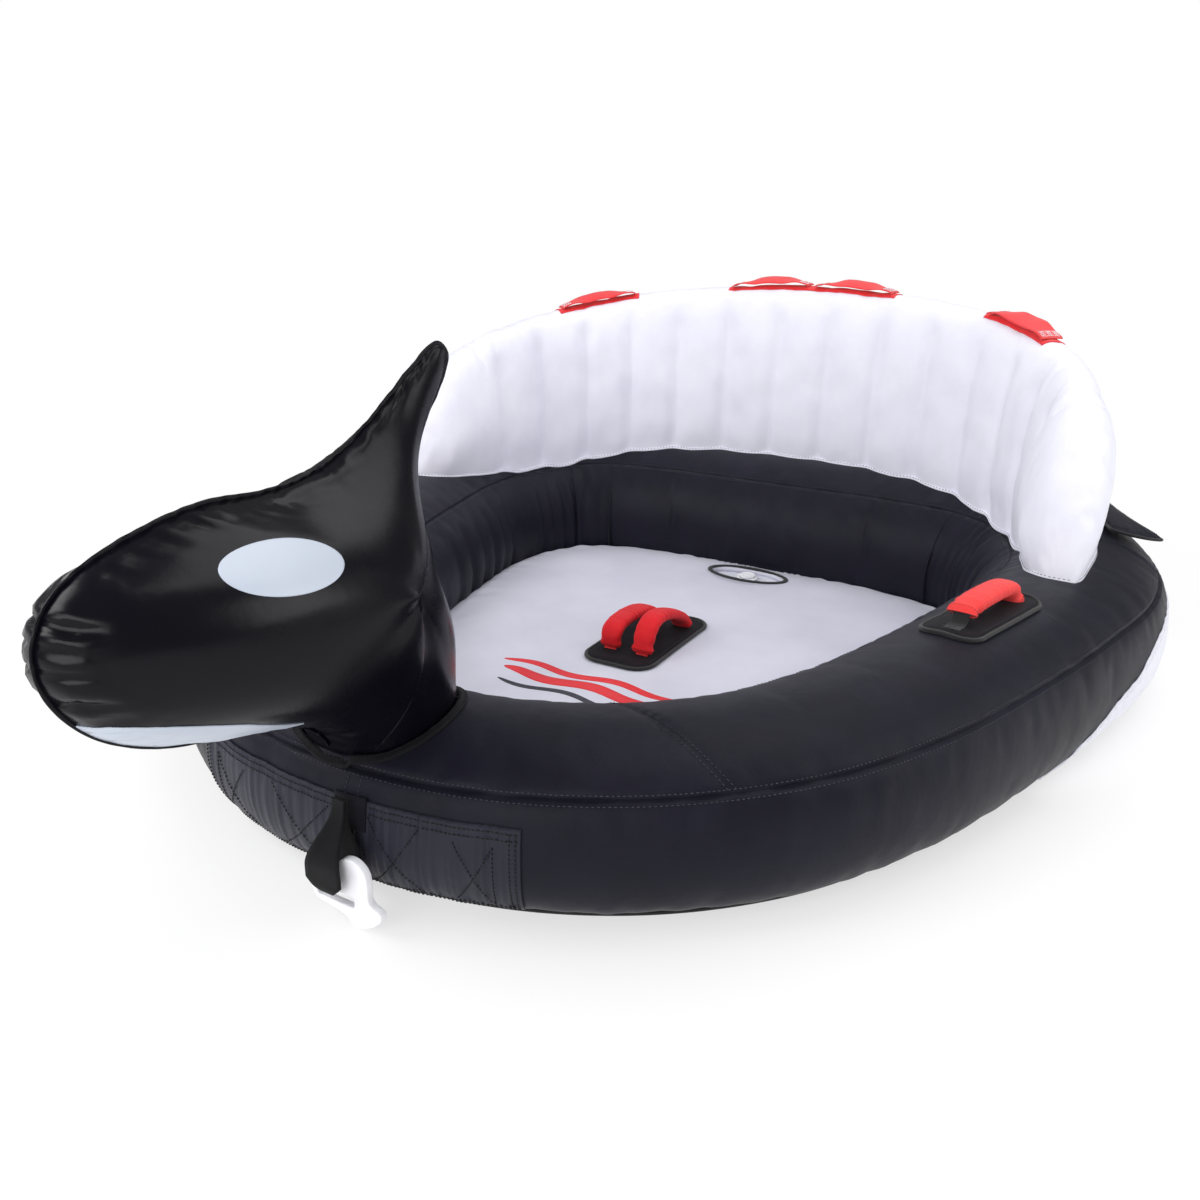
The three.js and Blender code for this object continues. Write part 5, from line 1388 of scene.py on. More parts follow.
def add_eye(side):
    """Pale film in the shape of an eye, laid on the head at an even thickness."""
    starboard = side == "starboard"
    u, v = np.meshgrid(np.linspace(-1, 1, 61), np.linspace(-1, 1, 41), indexing="ij")
    dx, dz = EYE_HALF[0] * u * np.sqrt(1 - v**2 / 2), EYE_HALF[1] * v * np.sqrt(1 - u**2 / 2)
    y = EYE_Y + math.cos(EYE_TILT) * dx - math.sin(EYE_TILT) * dz
    z = EYE_Z + math.sin(EYE_TILT) * dx + math.cos(EYE_TILT) * dz
    top, normal = head_patch_grid(y, z, starboard, 0.0010 + 0 * u)
    obj = add_slab("eye_film_" + side, top, normal, 0.0016, "pale_vinyl")
    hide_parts("eye_patch_" + side)


CHIN_EDGE = ((-1.400, 0.404), (-1.290, 0.388), (-1.180, 0.350), (-1.078, 0.300))


def add_chin():
    """Pale panel under the jaw, from one cheek over the weld to the other."""
    edge_y, edge_z = np.array(CHIN_EDGE).T
    fine = np.linspace(0, HEAD_COLUMNS, 4 * HEAD_COLUMNS, endpoint=False)
    rim = head_rim.at(fine / HEAD_COLUMNS)
    below = (rim[:, 1] < np.interp(rim[:, 0], edge_y, edge_z)) & (rim[:, 0] < edge_y[-1]) & (rim[:, 1] > 0.25)
    columns = fine[below][2:-2]
    shares = np.linspace(0.2, 1, 400)
    arm = head_rim.at(columns / HEAD_COLUMNS) - HEAD_CENTRE
    yz = HEAD_CENTRE + arm[:, None] * shares[None, :, None]
    inside = (yz[..., 1] < np.interp(yz[..., 0], edge_y, edge_z)) & (yz[..., 0] < edge_y[-1])
    first = shares[np.argmax(inside, axis=1)]
    for _ in range(3):
        first[1:-1] = 0.5 * first[1:-1] + 0.25 * (first[2:] + first[:-2])
    row = np.interp(first, head_shares, np.arange(HEAD_ROWS))
    rim_row = HEAD_ROWS - 1
    b = row[:, None] + (2 * rim_row - 2 * row)[:, None] * np.linspace(0, 1, 61)[None]
    p, n = head.at(np.broadcast_to(columns[:, None], b.shape), b, 0.0014)
    obj = add_slab("chin_film", p, n, 0.0020, "pale_vinyl")
    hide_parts("chin_panel")


# ------------------------------------------------------------------ backrest pieces
def add_backrest():
    p = backrest.p
    nu, nv = p.shape[:2]
    faces = grid_faces(nu, nv).tolist()
    faces.append([k for k in range(nv)])
    faces.append([(nu - 1) * nv + k for k in range(nv)][::-1])
    foot = [i * nv for i in range(nu)] + [i * nv + nv - 1 for i in range(nu - 1, -1, -1)]
    faces += [[foot[i], foot[i + 1], foot[-2 - i], foot[-1 - i]] for i in range(nu - 1)]
    obj = add_mesh("backrest_cloth_cover", p, oriented(p, faces), "white_nylon", uv=grid_uv(p))
    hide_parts("backrest_cover")
    inner = p - backrest.n * 0.012
    middle = inner.mean(axis=1, keepdims=True)
    inner = middle + (inner - middle) * 0.985
    inner = inner[6:-6]
    inner[..., 2] = np.maximum(inner[..., 2], BACKREST_BASE + 0.095)
    n2 = len(inner)
    faces = grid_faces(n2, nv).tolist()
    faces.append([k for k in range(nv)])
    faces.append([(n2 - 1) * nv + k for k in range(nv)][::-1])
    foot = [i * nv for i in range(n2)] + [i * nv + nv - 1 for i in range(n2 - 1, -1, -1)]
    faces += [[foot[i], foot[i + 1], foot[-2 - i], foot[-1 - i]] for i in range(n2 - 1)]
    air = add_mesh("backrest_air", inner, oriented(inner, faces), "air_vinyl", uv=grid_uv(inner))
    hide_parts("backrest_bladder")
    add_backrest_welt()


def add_backrest_welt():
    """Piped seam where the backrest cover is sewn to the ring cover."""
    nu, nv = backrest.p.shape[:2]
    halves = {}
    for side in ("inner", "outer"):
        rows = np.arange(0, nv // 2) if side == "inner" else np.arange(nv - 1, nv // 2, -1)
        path = []
        for i in range(nu):
            last = None
            for j in rows:
                point = backrest.p[i, j]
                level = ring_height(point[0], point[1])
                gap = point[2] - (level if level is not None else -1)
                if last is not None and gap > 0 >= last[1]:
                    t = last[1] / (last[1] - gap)
                    path.append(last[0] * (1 - t) + point * t)
                    break
                last = (point, gap)
        halves[side] = np.array(path)
    loop = np.concatenate([halves["outer"], halves["inner"][::-1]])
    line = Path(loop, True)
    count = 760
    p = line.at(np.arange(count) / count)
    for _ in range(10):
        p = 0.5 * p + 0.25 * (np.roll(p, 1, 0) + np.roll(p, -1, 0))
    ahead = unit(np.roll(p, -1, 0) - np.roll(p, 1, 0))
    side = unit(np.cross(ahead, (0, 0, 1.0)))
    up = unit(np.cross(side, ahead))
    p = p + up * 0.0008
    add_sweep("backrest_welt", p, side, up, circle(0.0042, 12), "white_nylon", closed=True)
    seam = [(p + up * 0.0035 + side * d, up) for d in (-0.0035, 0.0035)]
    add_stitches("backrest_stitching", seam, "grey_thread", 0.008, 0.6, 0.0006)


STRAP_HALF, STRAP_WIDTH = 0.098, 0.050
STRAP_OFFSETS = (-0.560, -0.107, 0.107, 0.560)
STRAP_LEAN = math.radians(15)


def strap_share(width):
    """Shares of the section on either side of the crest, a distance across from it in metres."""
    shares = np.linspace(0.3, 0.7, 81)
    mid = backrest_line.length / 2
    p = on_backrest(mid, shares)[0]
    across = np.concatenate([[0], np.cumsum(np.linalg.norm(np.diff(p, axis=0), axis=1))])
    across -= across[40]
    return np.interp(width, across, shares)


def add_straps():
    joints = [JOINTS[f"backrest_strap_{k}_flop"] for k in range(1, 5)]
    for number, (offset, joint) in enumerate(zip(STRAP_OFFSETS, joints), 1):
        middle = backrest_line.length / 2 + offset
        widths = strap_share(np.linspace(-STRAP_WIDTH / 2, STRAP_WIDTH / 2, 13))
        along = np.linspace(-STRAP_HALF - 0.010, STRAP_HALF + 0.010, 60)
        p, n = on_backrest((middle + along)[:, None], widths[None], 0.0022)
        base = add_slab(f"strap_base_web_{number}", p, n, 0.0016, "red_webbing")
        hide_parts(f"backrest_strap_base_{number}")
        crest, crest_n = on_backrest(middle + np.linspace(-1, 1, 61) * STRAP_HALF, 0.5, 0.0)
        for _ in range(30):
            crest[1:-1] = 0.5 * crest[1:-1] + 0.25 * (crest[2:] + crest[:-2])
        x = np.linspace(-1, 1, 61)
        chord = crest[0] + (crest[-1] - crest[0]) * ((x + 1) / 2)[:, None]
        path = crest.copy()
        path[:, :2] = 0.55 * crest[:, :2] + 0.45 * chord[:, :2]
        ahead = unit(np.gradient(path, axis=0))
        side = unit(np.cross(ahead, (0, 0, 1.0)))
        up = unit(np.cross(side, ahead))
        lift = 0.0042 + 0.0118 * (1 - x**2) ** 0.6
        path = path + up * lift[:, None]
        half = STRAP_WIDTH / 2 - 0.0005
        droop = 0.0018 * (1 - 0.6 * x**2)
        # Away from its sewn ends the webbing leans towards the cockpit.
        lean = math.tan(STRAP_LEAN) * smooth(0.76, 0.30, np.abs(x))
        section = []
        for k in range(len(x)):
            s = np.linspace(-half, half, 13)
            sag = -droop[k] * (s / half) ** 2 - lean[k] * s + 0.0004 * math.sin(9 * x[k] + number)
            section.append(np.concatenate([np.stack([s, sag + 0.0009], -1), np.stack([s, sag - 0.0009], -1)[::-1]]))
        points, faces = sweep(path, side, up, section)
        arch = add_mesh(f"strap_loop_{number}", points, oriented(points, faces), "red_webbing", None, grid_uv(points))
        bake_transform(arch)
        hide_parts(f"backrest_strap_{number}")
        surface = Sheet(path[:, None] + side[:, None] * np.linspace(-half, half, 13)[None, :, None]
                        + up[:, None] * (0.0012 - droop[:, None] * np.linspace(-1, 1, 13)[None] ** 2)[..., None])
        lines = []
        for low, high in ((1.2, 7.0), (53.0, 58.8)):
            for start, stop in ((1, 3.6), (4.6, 7.4), (8.4, 11)):
                lines.append(zigzag(low, high, start, stop, 7, surface, -0.0002))
            lines.append(surface.at(np.full(40, low), np.linspace(1, 11, 40), -0.0002))
            lines.append(surface.at(np.full(40, high), np.linspace(1, 11, 40), -0.0002))
        lines = [(p, n * np.sign(n[:, 2:])) for p, n in lines]
        lines = [(p + n * 0.0006, n) for p, n in lines]
        add_stitches(f"strap_stitching_{number}", lines, "white_thread", 0.0042, 0.82, 0.0007)


# ------------------------------------------------------------------ grab handles
def superellipse(half_span, rise, shares, power=4.0):
    """Points of a squared arch in its own plane as (along, up)."""
    angle = math.pi * (1 - np.asarray(shares, float))
    c, s = np.cos(angle), np.sin(angle)
    return np.stack([half_span * np.sign(c) * np.abs(c) ** (2 / power), rise * np.abs(s) ** (2 / power)], -1)


def arch_path(half_span, rise, foot, apex=0.0, power=4.0):
    """A grip's middle line: out along the pad, up, over and down, with the apex leaning to one side."""
    shares = np.linspace(0, 1, 121)
    arch = superellipse(half_span, rise, shares, power)
    arch[:, 0] += apex * (arch[:, 1] / rise) ** 2
    run = np.linspace(0, 1, 14)[:-1]
    toe = 0.030
    start = np.stack([-half_span - toe * (1 - run), -foot + (foot * 0.35) * run**3], -1)
    stop = np.stack([half_span + toe * (1 - run), -foot + (foot * 0.35) * run**3], -1)[::-1]
    line = np.concatenate([start, arch, stop])
    for _ in range(14):
        line[1:-1] = 0.5 * line[1:-1] + 0.25 * (line[2:] + line[:-2])
    return Path(line)


def strip_frames(line, shares, origin, along, up):
    flat = line.at(shares)
    slope = line.tangent(shares, 4e-3)
    path = origin + flat[:, :1] * along + flat[:, 1:] * up
    ahead = slope[:, :1] * along + slope[:, 1:] * up
    side = np.broadcast_to(np.cross(along, up), path.shape)
    return path, -side, unit(np.cross(ahead, -side)) * -1.0


def add_grip(names, nodes, body, origin, along, up, line, sizes, sleeve, finishes, swing=None):
    """Webbing sewn to the pad at both ends, with a padded sleeve over its middle.

    The sleeve is narrow enough near its ends to clear the pad when the grip lies over by the swing angle.
    """
    web_width, sleeve_width, sleeve_thickness = sizes
    shares = np.linspace(0, 1, 150)
    path, side, lift = strip_frames(line, shares, origin, along, up)
    lift = lift * np.sign((lift * up).sum(-1).sum())
    points, faces = sweep(path, side, lift, rounded_box(web_width / 2, 0.0014, 0.0012))
    web = add_mesh(names[0], points, oriented(points, faces), finishes[0], None, grid_uv(points))
    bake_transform(web)
    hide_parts(nodes[0])
    low, high = sleeve
    x = np.linspace(0, 1, 110)
    path, side, lift = strip_frames(line, low + (high - low) * x, origin, along, up)
    lift = lift * np.sign((lift * up).sum(-1).sum())
    edge = np.minimum(x, 1 - x)
    flare = 1 + 0.10 * np.exp(-((edge / 0.035) ** 2)) - 0.10 * np.exp(-(((edge - 0.075) / 0.03) ** 2))
    fold = 1 + 0.022 * wave_noise(x, len(names[1]) + 3, 10, 5, 22)
    angle = np.linspace(0, 2 * math.pi, 36, endpoint=False)
    c, s = np.cos(angle), np.sin(angle)
    square = 0.75
    ring_x = np.sign(c) * np.abs(c) ** square
    ring_y = np.sign(s) * np.abs(s) ** square
    hem = np.where(edge < 0.012, 0.72, 1.0)
    wrinkle = 0.010 * np.sin(angle[None] * 5 + 40 * x[:, None]) * np.exp(-((edge / 0.16) ** 2))[:, None]
    fat = (0.5 * sleeve_thickness * hem * fold)[:, None] * (ring_y[None] * (1 + wrinkle))
    half = 0.5 * sleeve_width * flare * fold
    if swing is not None:
        height = (path - origin) @ up
        half = np.minimum(half, (GRIP_CLEARANCE + math.cos(swing) * height) / math.sin(swing))
    wide = half[:, None] * (ring_x[None] * (1 + wrinkle))
    points, faces = sweep(path, side, lift, np.stack([wide, fat], -1))
    grip = add_mesh(names[1], points, oriented(points, faces), finishes[1], body, grid_uv(points))
    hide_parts(nodes[1])
    hems = []
    for at in (0.030, 0.970):
        k = int(round(at * (len(x) - 1)))
        loop = points[k]
        closed = np.concatenate([loop, loop[:1]])
        outward = unit(closed - path[k])
        hems.append((closed + outward * 0.0004, outward))
    add_stitches(names[1] + "_stitching", hems, "dark_thread", 0.005, 0.6, 0.0005, body)


def add_pad(name, node, sheet_at, half_length, half_width, corner, finish, puff):
    """Rounded pad with a piped edge and a stitch line; sheet_at(along, across, offset) gives points and normals."""
    a = np.sin(np.linspace(-math.pi / 2, math.pi / 2, 61)) * 0.6 + np.linspace(-1, 1, 61) * 0.4
    b = np.linspace(-1, 1, 31)
    along = a * (half_length - 0.0005)
    over = np.maximum(np.abs(along) - (half_length - corner), 0)
    half = half_width - corner + np.sqrt(np.maximum(corner**2 - over**2, 0))
    across = half[:, None] * b[None]
    grid_along = np.broadcast_to(along[:, None], across.shape)
    rim = np.minimum(1 - np.abs(b)[None] * np.ones((61, 1)), (1 - np.abs(a))[:, None] * 2)
    lift = puff * smooth(0, 0.25, rim)
    p, n = sheet_at(grid_along, across, 0.0045 + lift)
    obj = add_slab(name, p, n, 0.0035, finish)
    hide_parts(node)
    t = np.linspace(0, 2 * math.pi, 240, endpoint=False)
    outline = rounded_outline(half_length, half_width, corner, 240)
    edge, edge_n = sheet_at(outline[:, 0], outline[:, 1], 0.0042 + 0 * t)
    ahead = unit(np.roll(edge, -1, 0) - np.roll(edge, 1, 0))
    across_edge = unit(np.cross(edge_n, ahead))
    add_sweep(name + "_piping", edge, across_edge, edge_n, circle(0.0036, 10), "black_webbing", closed=True)
    inset = outline * (1 - 0.009 / half_width)
    seam = sheet_at(inset[:, 0], inset[:, 1], 0.0050 + puff * 0.6)
    add_stitches(name + "_stitching", [seam], "grey_thread", 0.0055, 0.62, 0.0006)
    return obj


def rounded_outline(half_length, half_width, corner, count):
    points = []
    for k in range(4):
        centre = ((half_length - corner) * (1, -1, -1, 1)[k], (half_width - corner) * (1, 1, -1, -1)[k])
        for a in np.linspace(0, math.pi / 2, 24):
            angle = a + k * math.pi / 2
            points.append((centre[0] + corner * math.cos(angle), centre[1] + corner * math.sin(angle)))
    return Path(np.array(points), True).at(np.arange(count) / count)


GRIP_CLEARANCE = 0.0135  # height of a grip's swing axis over the pad, less a little room
SIDE_PAD = (0.124, 0.050, 0.032)
SIDE_SPAN, SIDE_RISE, AXIS_HEIGHT = 0.074, 0.013, 0.016


def add_side_handle(side, sign):
    node = "side_handle_pad_" + side
    low, high = node_box(node)
    column, row = ring.nearest((low + high) / 2 + (0, 0, 0.01))
    centre = ring.at(column, row)[0]
    unit_column = np.linalg.norm(ring.at(column + 6, row)[0] - ring.at(column - 6, row)[0]) / 12
    unit_row = np.linalg.norm(ring.at(column, row + 4)[0] - ring.at(column, row - 4)[0]) / 8

    def sheet_at(along, across, offset):
        return ring.at(column + sign * along / unit_column, row - across / unit_row, offset)

    add_pad("side_pad_" + side, node, sheet_at, *SIDE_PAD, "black_mesh_cloth", 0.003)
    joint = JOINTS[f"side_handle_{side}_swing"]
    pivot, axis = np.array(joint["pos_m"]), unit(joint["axis"])
    web = node_box("side_handle_webbing_" + side)
    middle = (web[0] + web[1]) / 2
    origin = pivot + axis * ((middle - pivot) @ axis)
    along = axis * np.sign(axis[1])
    normal = ring.at(column, row)[1]
    up = unit(normal - along * (normal @ along))
    line = arch_path(SIDE_SPAN, SIDE_RISE, AXIS_HEIGHT - 0.001, 0.012, 2.6)
    names = (f"side_web_{side}", f"side_sleeve_{side}")
    nodes = (f"side_handle_webbing_{side}", f"side_handle_grip_{side}")
    sizes = (0.028, 0.047, 0.026)
    body = "side_handle_" + side
    add_grip(names, nodes, body, origin, along, up, line, sizes, (0.17, 0.93), ("black_webbing", "coral_sleeve"))
    lines = []
    for low_end, high_end in ((-0.107, -0.091), (0.091, 0.107)):
        for y0, y1 in ((-0.011, 0.011), (0.011, -0.011)):
            t = np.linspace(0, 1, 20)
            lines.append(sheet_at(low_end + (high_end - low_end) * t, y0 + (y1 - y0) * t, 0.0110))
        for end in (low_end, high_end):
            lines.append(sheet_at(np.full(16, end), np.linspace(-0.011, 0.011, 16), 0.0110))
    add_stitches("side_cross_stitching_" + side, lines, "grey_thread", 0.0042, 0.75, 0.0006)


def add_centre_handles():
    low, high = node_box("centre_handle_pad")
    centre = (low + high) / 2

    def sheet_at(along, across, offset):
        x, y = centre[0] + across, centre[1] + along
        z = floor_z(x, y)
        step = 0.004
        slope_x = (floor_z(x + step, y) - floor_z(x - step, y)) / (2 * step)
        slope_y = (floor_z(x, y + step) - floor_z(x, y - step)) / (2 * step)
        normal = unit(np.stack([-slope_x, -slope_y, np.ones_like(slope_x)], -1))
        return np.stack([x, y, z], -1) + normal * np.asarray(offset)[..., None], normal

    add_pad("centre_pad", "centre_handle_pad", sheet_at, 0.149, 0.074, 0.042, "black_mesh_cloth", 0.004)
    for side, sign in SIDES:
        joint = JOINTS[f"centre_handle_{side}_swing"]
        pivot = np.array(joint["pos_m"])
        up = np.array((0.0, 0.0, 1.0))
        along = np.array((0.0, 1.0, 0.0))
        origin = np.array((pivot[0], centre[1], pivot[2]))
        power, apex, rise = (2.5, -0.026, 0.047) if sign < 0 else (1.75, -0.034, 0.062)
        foot = AXIS_HEIGHT - FLOOR_DOME * 0.75 + 0.001
        line = arch_path(0.088, rise, foot, apex, power)
        names = (f"centre_web_{side}", f"centre_sleeve_{side}")
        nodes = (f"centre_handle_webbing_{side}", f"centre_handle_grip_{side}")
        body = "centre_handle_" + side
        add_grip(names, nodes, body, origin, along, up, line, (0.026, 0.044, 0.022), (0.122, 0.878),
                 ("red_webbing", "red_sleeve"), math.radians(55))


# ------------------------------------------------------------------ tow strap and hook
def add_tow_strap():
    """Webbing loop: sewn narrow at the seam, folded open round the hook, and pointed at the bottom."""
    low, high = node_box("tow_strap")
    pivot = np.array(JOINTS["tow_strap_swing"]["pos_m"])
    loop_y = float(np.array(JOINTS["tow_hook_swing"]["pos_m"])[1])
    bottom = low[2] + 0.001
    top = pivot[2] - 0.004
    rows = 70
    t = np.linspace(0, 1, rows)
    z = top + (bottom + 0.020 - top) * t
    spread = 0.0185 * smooth(0.15, 0.80, t) + 0.0022
    middle = pivot[1] + (loop_y - pivot[1]) * smooth(0.0, 0.75, t)
    angle = np.linspace(0, math.pi, 26)[1:-1]
    reach = spread[-1]
    arc_y = loop_y - reach * np.cos(angle)
    arc_z = z[-1] - 0.020 * np.sin(angle)
    path_y = np.concatenate([middle - spread, arc_y, (middle + spread)[::-1]])
    path_z = np.concatenate([z, arc_z, z[::-1]])
    path = np.stack([np.full(len(path_y), TOW_X), path_y, path_z], -1)
    share = (path_z - bottom) / (top - bottom)
    half = 0.0300 * (1 - 0.66 * smooth(0.30, 0.90, share))
    half = half * np.clip(0.12 + share / 0.22, 0.12, 1.0)
    ahead = unit(np.gradient(path, axis=0))
    side = np.tile((1.0, 0.0, 0.0), (len(path), 1))
    up = unit(np.cross(ahead, side))
    section = []
    for k in range(len(path)):
        s = np.linspace(-1, 1, 9) * half[k]
        curl = 0.0022 * (s / 0.0245) ** 2 * smooth(0.3, 0.8, share[k])
        section.append(np.concatenate([np.stack([s, curl + 0.0011], -1), np.stack([s, curl - 0.0011], -1)[::-1]]))
    points, faces = sweep(path, side, up, section)
    obj = add_mesh("tow_webbing", points, oriented(points, faces), "tow_cloth", None, grid_uv(points))
    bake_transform(obj)
    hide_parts("tow_strap")


def add_hook():
    """Flat moulded hook: a round tongue, a lobe on one side, an arm with the strap's eye on the other."""
    low, high = node_box("tow_hook")
    centre = np.array((TOW_X + 0.034, (low[1] + high[1]) / 2))

    def quad(a, b, c, count=14):
        t = np.linspace(0, 1, count, endpoint=False)[:, None]
        a, b, c = (np.array(q, float) for q in (a, b, c))
        return (1 - t) ** 2 * a + 2 * (1 - t) * t * b + t * t * c

    arc = np.linspace(0, math.pi, 40, endpoint=False)
    outline = np.concatenate(
        [
            quad((-8, 12), (-6, 3), (4, 3)),
            quad((4, 3), (30, 8), (44, 26)),
            quad((44, 26), (52, 38), (38, 42)),
            quad((38, 42), (26, 44), (26, 56)),
            [[26, 56], [26, 67]],
            np.stack([26 * np.cos(arc), 78 + 26 * np.sin(arc)], -1),
            quad((-26, 78), (-30, 62), (-58, 60)),
            quad((-58, 60), (-74, 58), (-72, 40)),
            quad((-72, 40), (-70, 26), (-54, 24)),
            quad((-54, 24), (-24, 22), (-8, 12)),
        ]
    )
    eye = []
    for k, (x, z) in enumerate(((-4, 42.5), (-56, 42.5), (-56, 38), (-4, 38))):
        for a in np.linspace(0, math.pi / 2, 8):
            angle = a + k * math.pi / 2
            eye.append((x + 6 * math.cos(angle), z + 6 * math.sin(angle)))
    curve = bpy.data.curves.new("hook_outline", "CURVE")
    curve.dimensions = "2D"
    curve.fill_mode = "BOTH"
    edge = 0.0016
    curve.extrude = (high[1] - low[1]) / 2 - edge
    curve.bevel_depth = edge
    curve.bevel_resolution = 3
    curve.offset = -edge
    for points in (outline, np.array(eye)):
        spline = curve.splines.new("POLY")
        spline.points.add(len(points) - 1)
        spline.use_cyclic_u = True
        for target, (x, z) in zip(spline.points, points):
            target.co = (x / 1000, z / 1000, 0, 1)
    source = bpy.data.objects.new("hook_outline", curve)
    bpy.context.scene.collection.objects.link(source)
    done = source.evaluated_get(bpy.context.evaluated_depsgraph_get()).to_mesh()
    points = np.array([v.co[:] for v in done.vertices])
    faces = [list(f.vertices) for f in done.polygons]
    bpy.data.objects.remove(source)
    placed = np.stack([centre[0] + points[:, 0], centre[1] - points[:, 2], points[:, 1]], -1)
    obj = add_mesh("hook_body", placed, faces, "white_plastic", "tow_hook")
    merge(obj, 1e-5)
    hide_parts("tow_hook")


def merge(obj, distance):
    """Joins points that lie together and turns the faces outward."""
    mesh = bmesh.new()
    mesh.from_mesh(obj.data)
    bmesh.ops.remove_doubles(mesh, verts=mesh.verts[:], dist=distance)
    bmesh.ops.recalc_face_normals(mesh, faces=mesh.faces[:])
    mesh.to_mesh(obj.data)
    mesh.free()


# ------------------------------------------------------------------ valves
def add_valve(name, origin, normal, across, finish):
    """Moulded flange with a tethered cap, standing on a surface point."""
    y_axis = np.cross(normal, across)

    def put(points):
        return origin + points[:, :1] * across + points[:, 1:2] * y_axis + points[:, 2:] * normal

    flange = (
        (0, -0.018), (0.0135, -0.018), (0.014, -0.0172), (0.014, -0.0002), (0.0232, -0.0002), (0.024, 0.0004),
        (0.024, 0.0026), (0.0232, 0.0036), (0.0205, 0.004), (0.0198, 0.0034), (0, 0.0034),
    )  # fmt: skip
    points, faces = lathe(flange)
    body = add_mesh(name + "_flange", put(points), oriented(points, faces), finish)
    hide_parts(name + "_valve_body")
    cap = (
        (0, 0.0044), (0.0186, 0.0044), (0.019, 0.0048), (0.019, 0.0086), (0.0184, 0.0094), (0.0168, 0.0096),
        (0.0158, 0.0090), (0.006, 0.0088), (0.004, 0.0094), (0, 0.0096),
    )  # fmt: skip
    points, faces = lathe(cap)
    tab_path = np.array([(-0.0245, 0, 0.0054), (-0.020, 0, 0.0056), (-0.0165, 0, 0.0060)])
    tab, tab_faces = sweep(tab_path, [(0, 1, 0)] * 3, [(0, 0, 1)] * 3, rounded_box(0.0042, 0.0010, 0.0008))
    tab = tab.reshape(-1, 3)
    both = oriented(points, faces) + [[k + len(points) for k in f] for f in oriented(tab, tab_faces)]
    lid = add_mesh(name + "_lid", put(np.concatenate([points, tab])), both, finish, name + "_valve_cap")
    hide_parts(name + "_valve_cap")


# ------------------------------------------------------------------ tail flukes
def add_fluke(side, sign):
    """Padded leaf-shaped wing, sewn along its root, with piping round the edge."""
    root_front, root_rear = np.array((0.772, 0.395)), np.array((0.650, 0.705))
    low, high = node_box("tail_fluke_" + side)

    def quad(a, b, c, count):
        t = np.linspace(0, 1, count, endpoint=False)[:, None]
        return (1 - t) ** 2 * a + 2 * (1 - t) * t * np.array(b) + t * t * c

    tip, waist = np.array((0.862, 0.428)), np.array((0.742, 0.640))
    outline = np.concatenate(
        [
            quad(root_front, (0.834, 0.384), tip, 30),
            quad(tip, (0.792, 0.520), waist, 30),
            quad(waist, (0.700, 0.700), root_rear, 20),
            quad(root_rear, (root_front + root_rear) / 2, root_front, 40),
        ]
    )
    count = 200
    edge = Path(outline, True).at(np.arange(count) / count)
    centre = edge.mean(axis=0)
    x = (np.arange(16) + 0.5) / 16
    shares = np.sin(x * math.pi / 2)
    xy = centre + (edge - centre)[None] * shares[:, None, None]
    angle = np.linspace(0, 2 * math.pi, count, endpoint=False)
    pucker = 0.0007 * wave_noise(angle / (2 * math.pi), 17, 9, 9, 40)[None] * smooth(0.5, 0.95, shares)[:, None]
    thick = 0.0098 * np.sqrt(np.maximum(1 - shares**2.6, 0.0))[:, None] + 0.0012 + pucker
    up = np.concatenate([xy, thick[..., None]], -1)
    down = np.concatenate([xy, -thick[..., None]], -1)[::-1]
    grid = np.concatenate([up, down], 0)
    faces = grid_faces(grid.shape[0], count, False, True).tolist()
    faces.append(list(range(count)))
    faces.append([(grid.shape[0] - 1) * count + k for k in range(count)][::-1])
    axis = np.array((*unit(root_rear - root_front), 0.0))
    out = np.array((-axis[1], axis[0], 0.0))
    out *= np.sign(out[:2] @ (centre - root_front))
    base = float(high[2]) - 0.011

    def place(points):
        reach = (points[..., :2] - root_front) @ out[:2]
        droop = 0.16
        z = points[..., 2] * math.cos(droop) - reach * math.sin(droop)
        placed = np.concatenate([points[..., :2], (base + z)[..., None]], -1)
        return placed * (sign, 1, 1)

    p = place(grid)
    obj = add_mesh("fluke_" + side, p, oriented(p, faces), "dark_nylon", "tail_fluke_" + side, grid_uv(p))
    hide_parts("tail_fluke_" + side)
    rim = place(np.concatenate([edge, np.zeros((count, 1))], -1))
    ahead = unit(np.roll(rim, -1, 0) - np.roll(rim, 1, 0))
    side_dir = unit(np.cross(ahead, (0, 0, 1.0)))
    lift = np.cross(side_dir, ahead)
    add_sweep("fluke_piping_" + side, rim, side_dir, lift, circle(0.0032, 8), "black_webbing", "tail_fluke_" + side, True)
    seams = []
    for z_sign in (1, -1):
        inner = centre + (edge - centre) * 0.90
        height = np.full((count, 1), z_sign * 0.0065)
        q = place(np.concatenate([inner, height], -1))
        seams.append((q, np.tile((0, 0, float(z_sign)), (count, 1))))
    add_stitches("fluke_stitching_" + side, seams, "dark_thread", 0.0065, 0.6, 0.0006, "tail_fluke_" + side)


# ------------------------------------------------------------------ floor print
def add_floor_print():
    """Plain wave stripes across the front of the floor, in place of any marking."""
    for k, (y, height, finish) in enumerate(((-0.300, 0.020, "red_print"), (-0.340, 0.030, "red_print"),
                                             (-0.385, 0.014, "dark_print"))):
        x = np.linspace(-0.20 + 0.02 * k, 0.18 - 0.02 * k, 90)
        taper = np.sqrt(np.clip(1 - np.linspace(-1, 1, 90) ** 4, 0.02, 1))
        centre = y + 0.008 * np.sin(x * 34 + k)
        b = np.linspace(-0.5, 0.5, 9)
        yy = centre[:, None] + (height * taper)[:, None] * b[None]
        xx = np.broadcast_to(x[:, None], yy.shape)
        top = np.stack([xx, yy, floor_z(xx, yy) + 0.0005], -1)
        normal = np.broadcast_to(np.array((0, 0, 1.0)), top.shape)
        add_slab(f"floor_wave_{k + 1}", top, normal, 0.0007, finish)


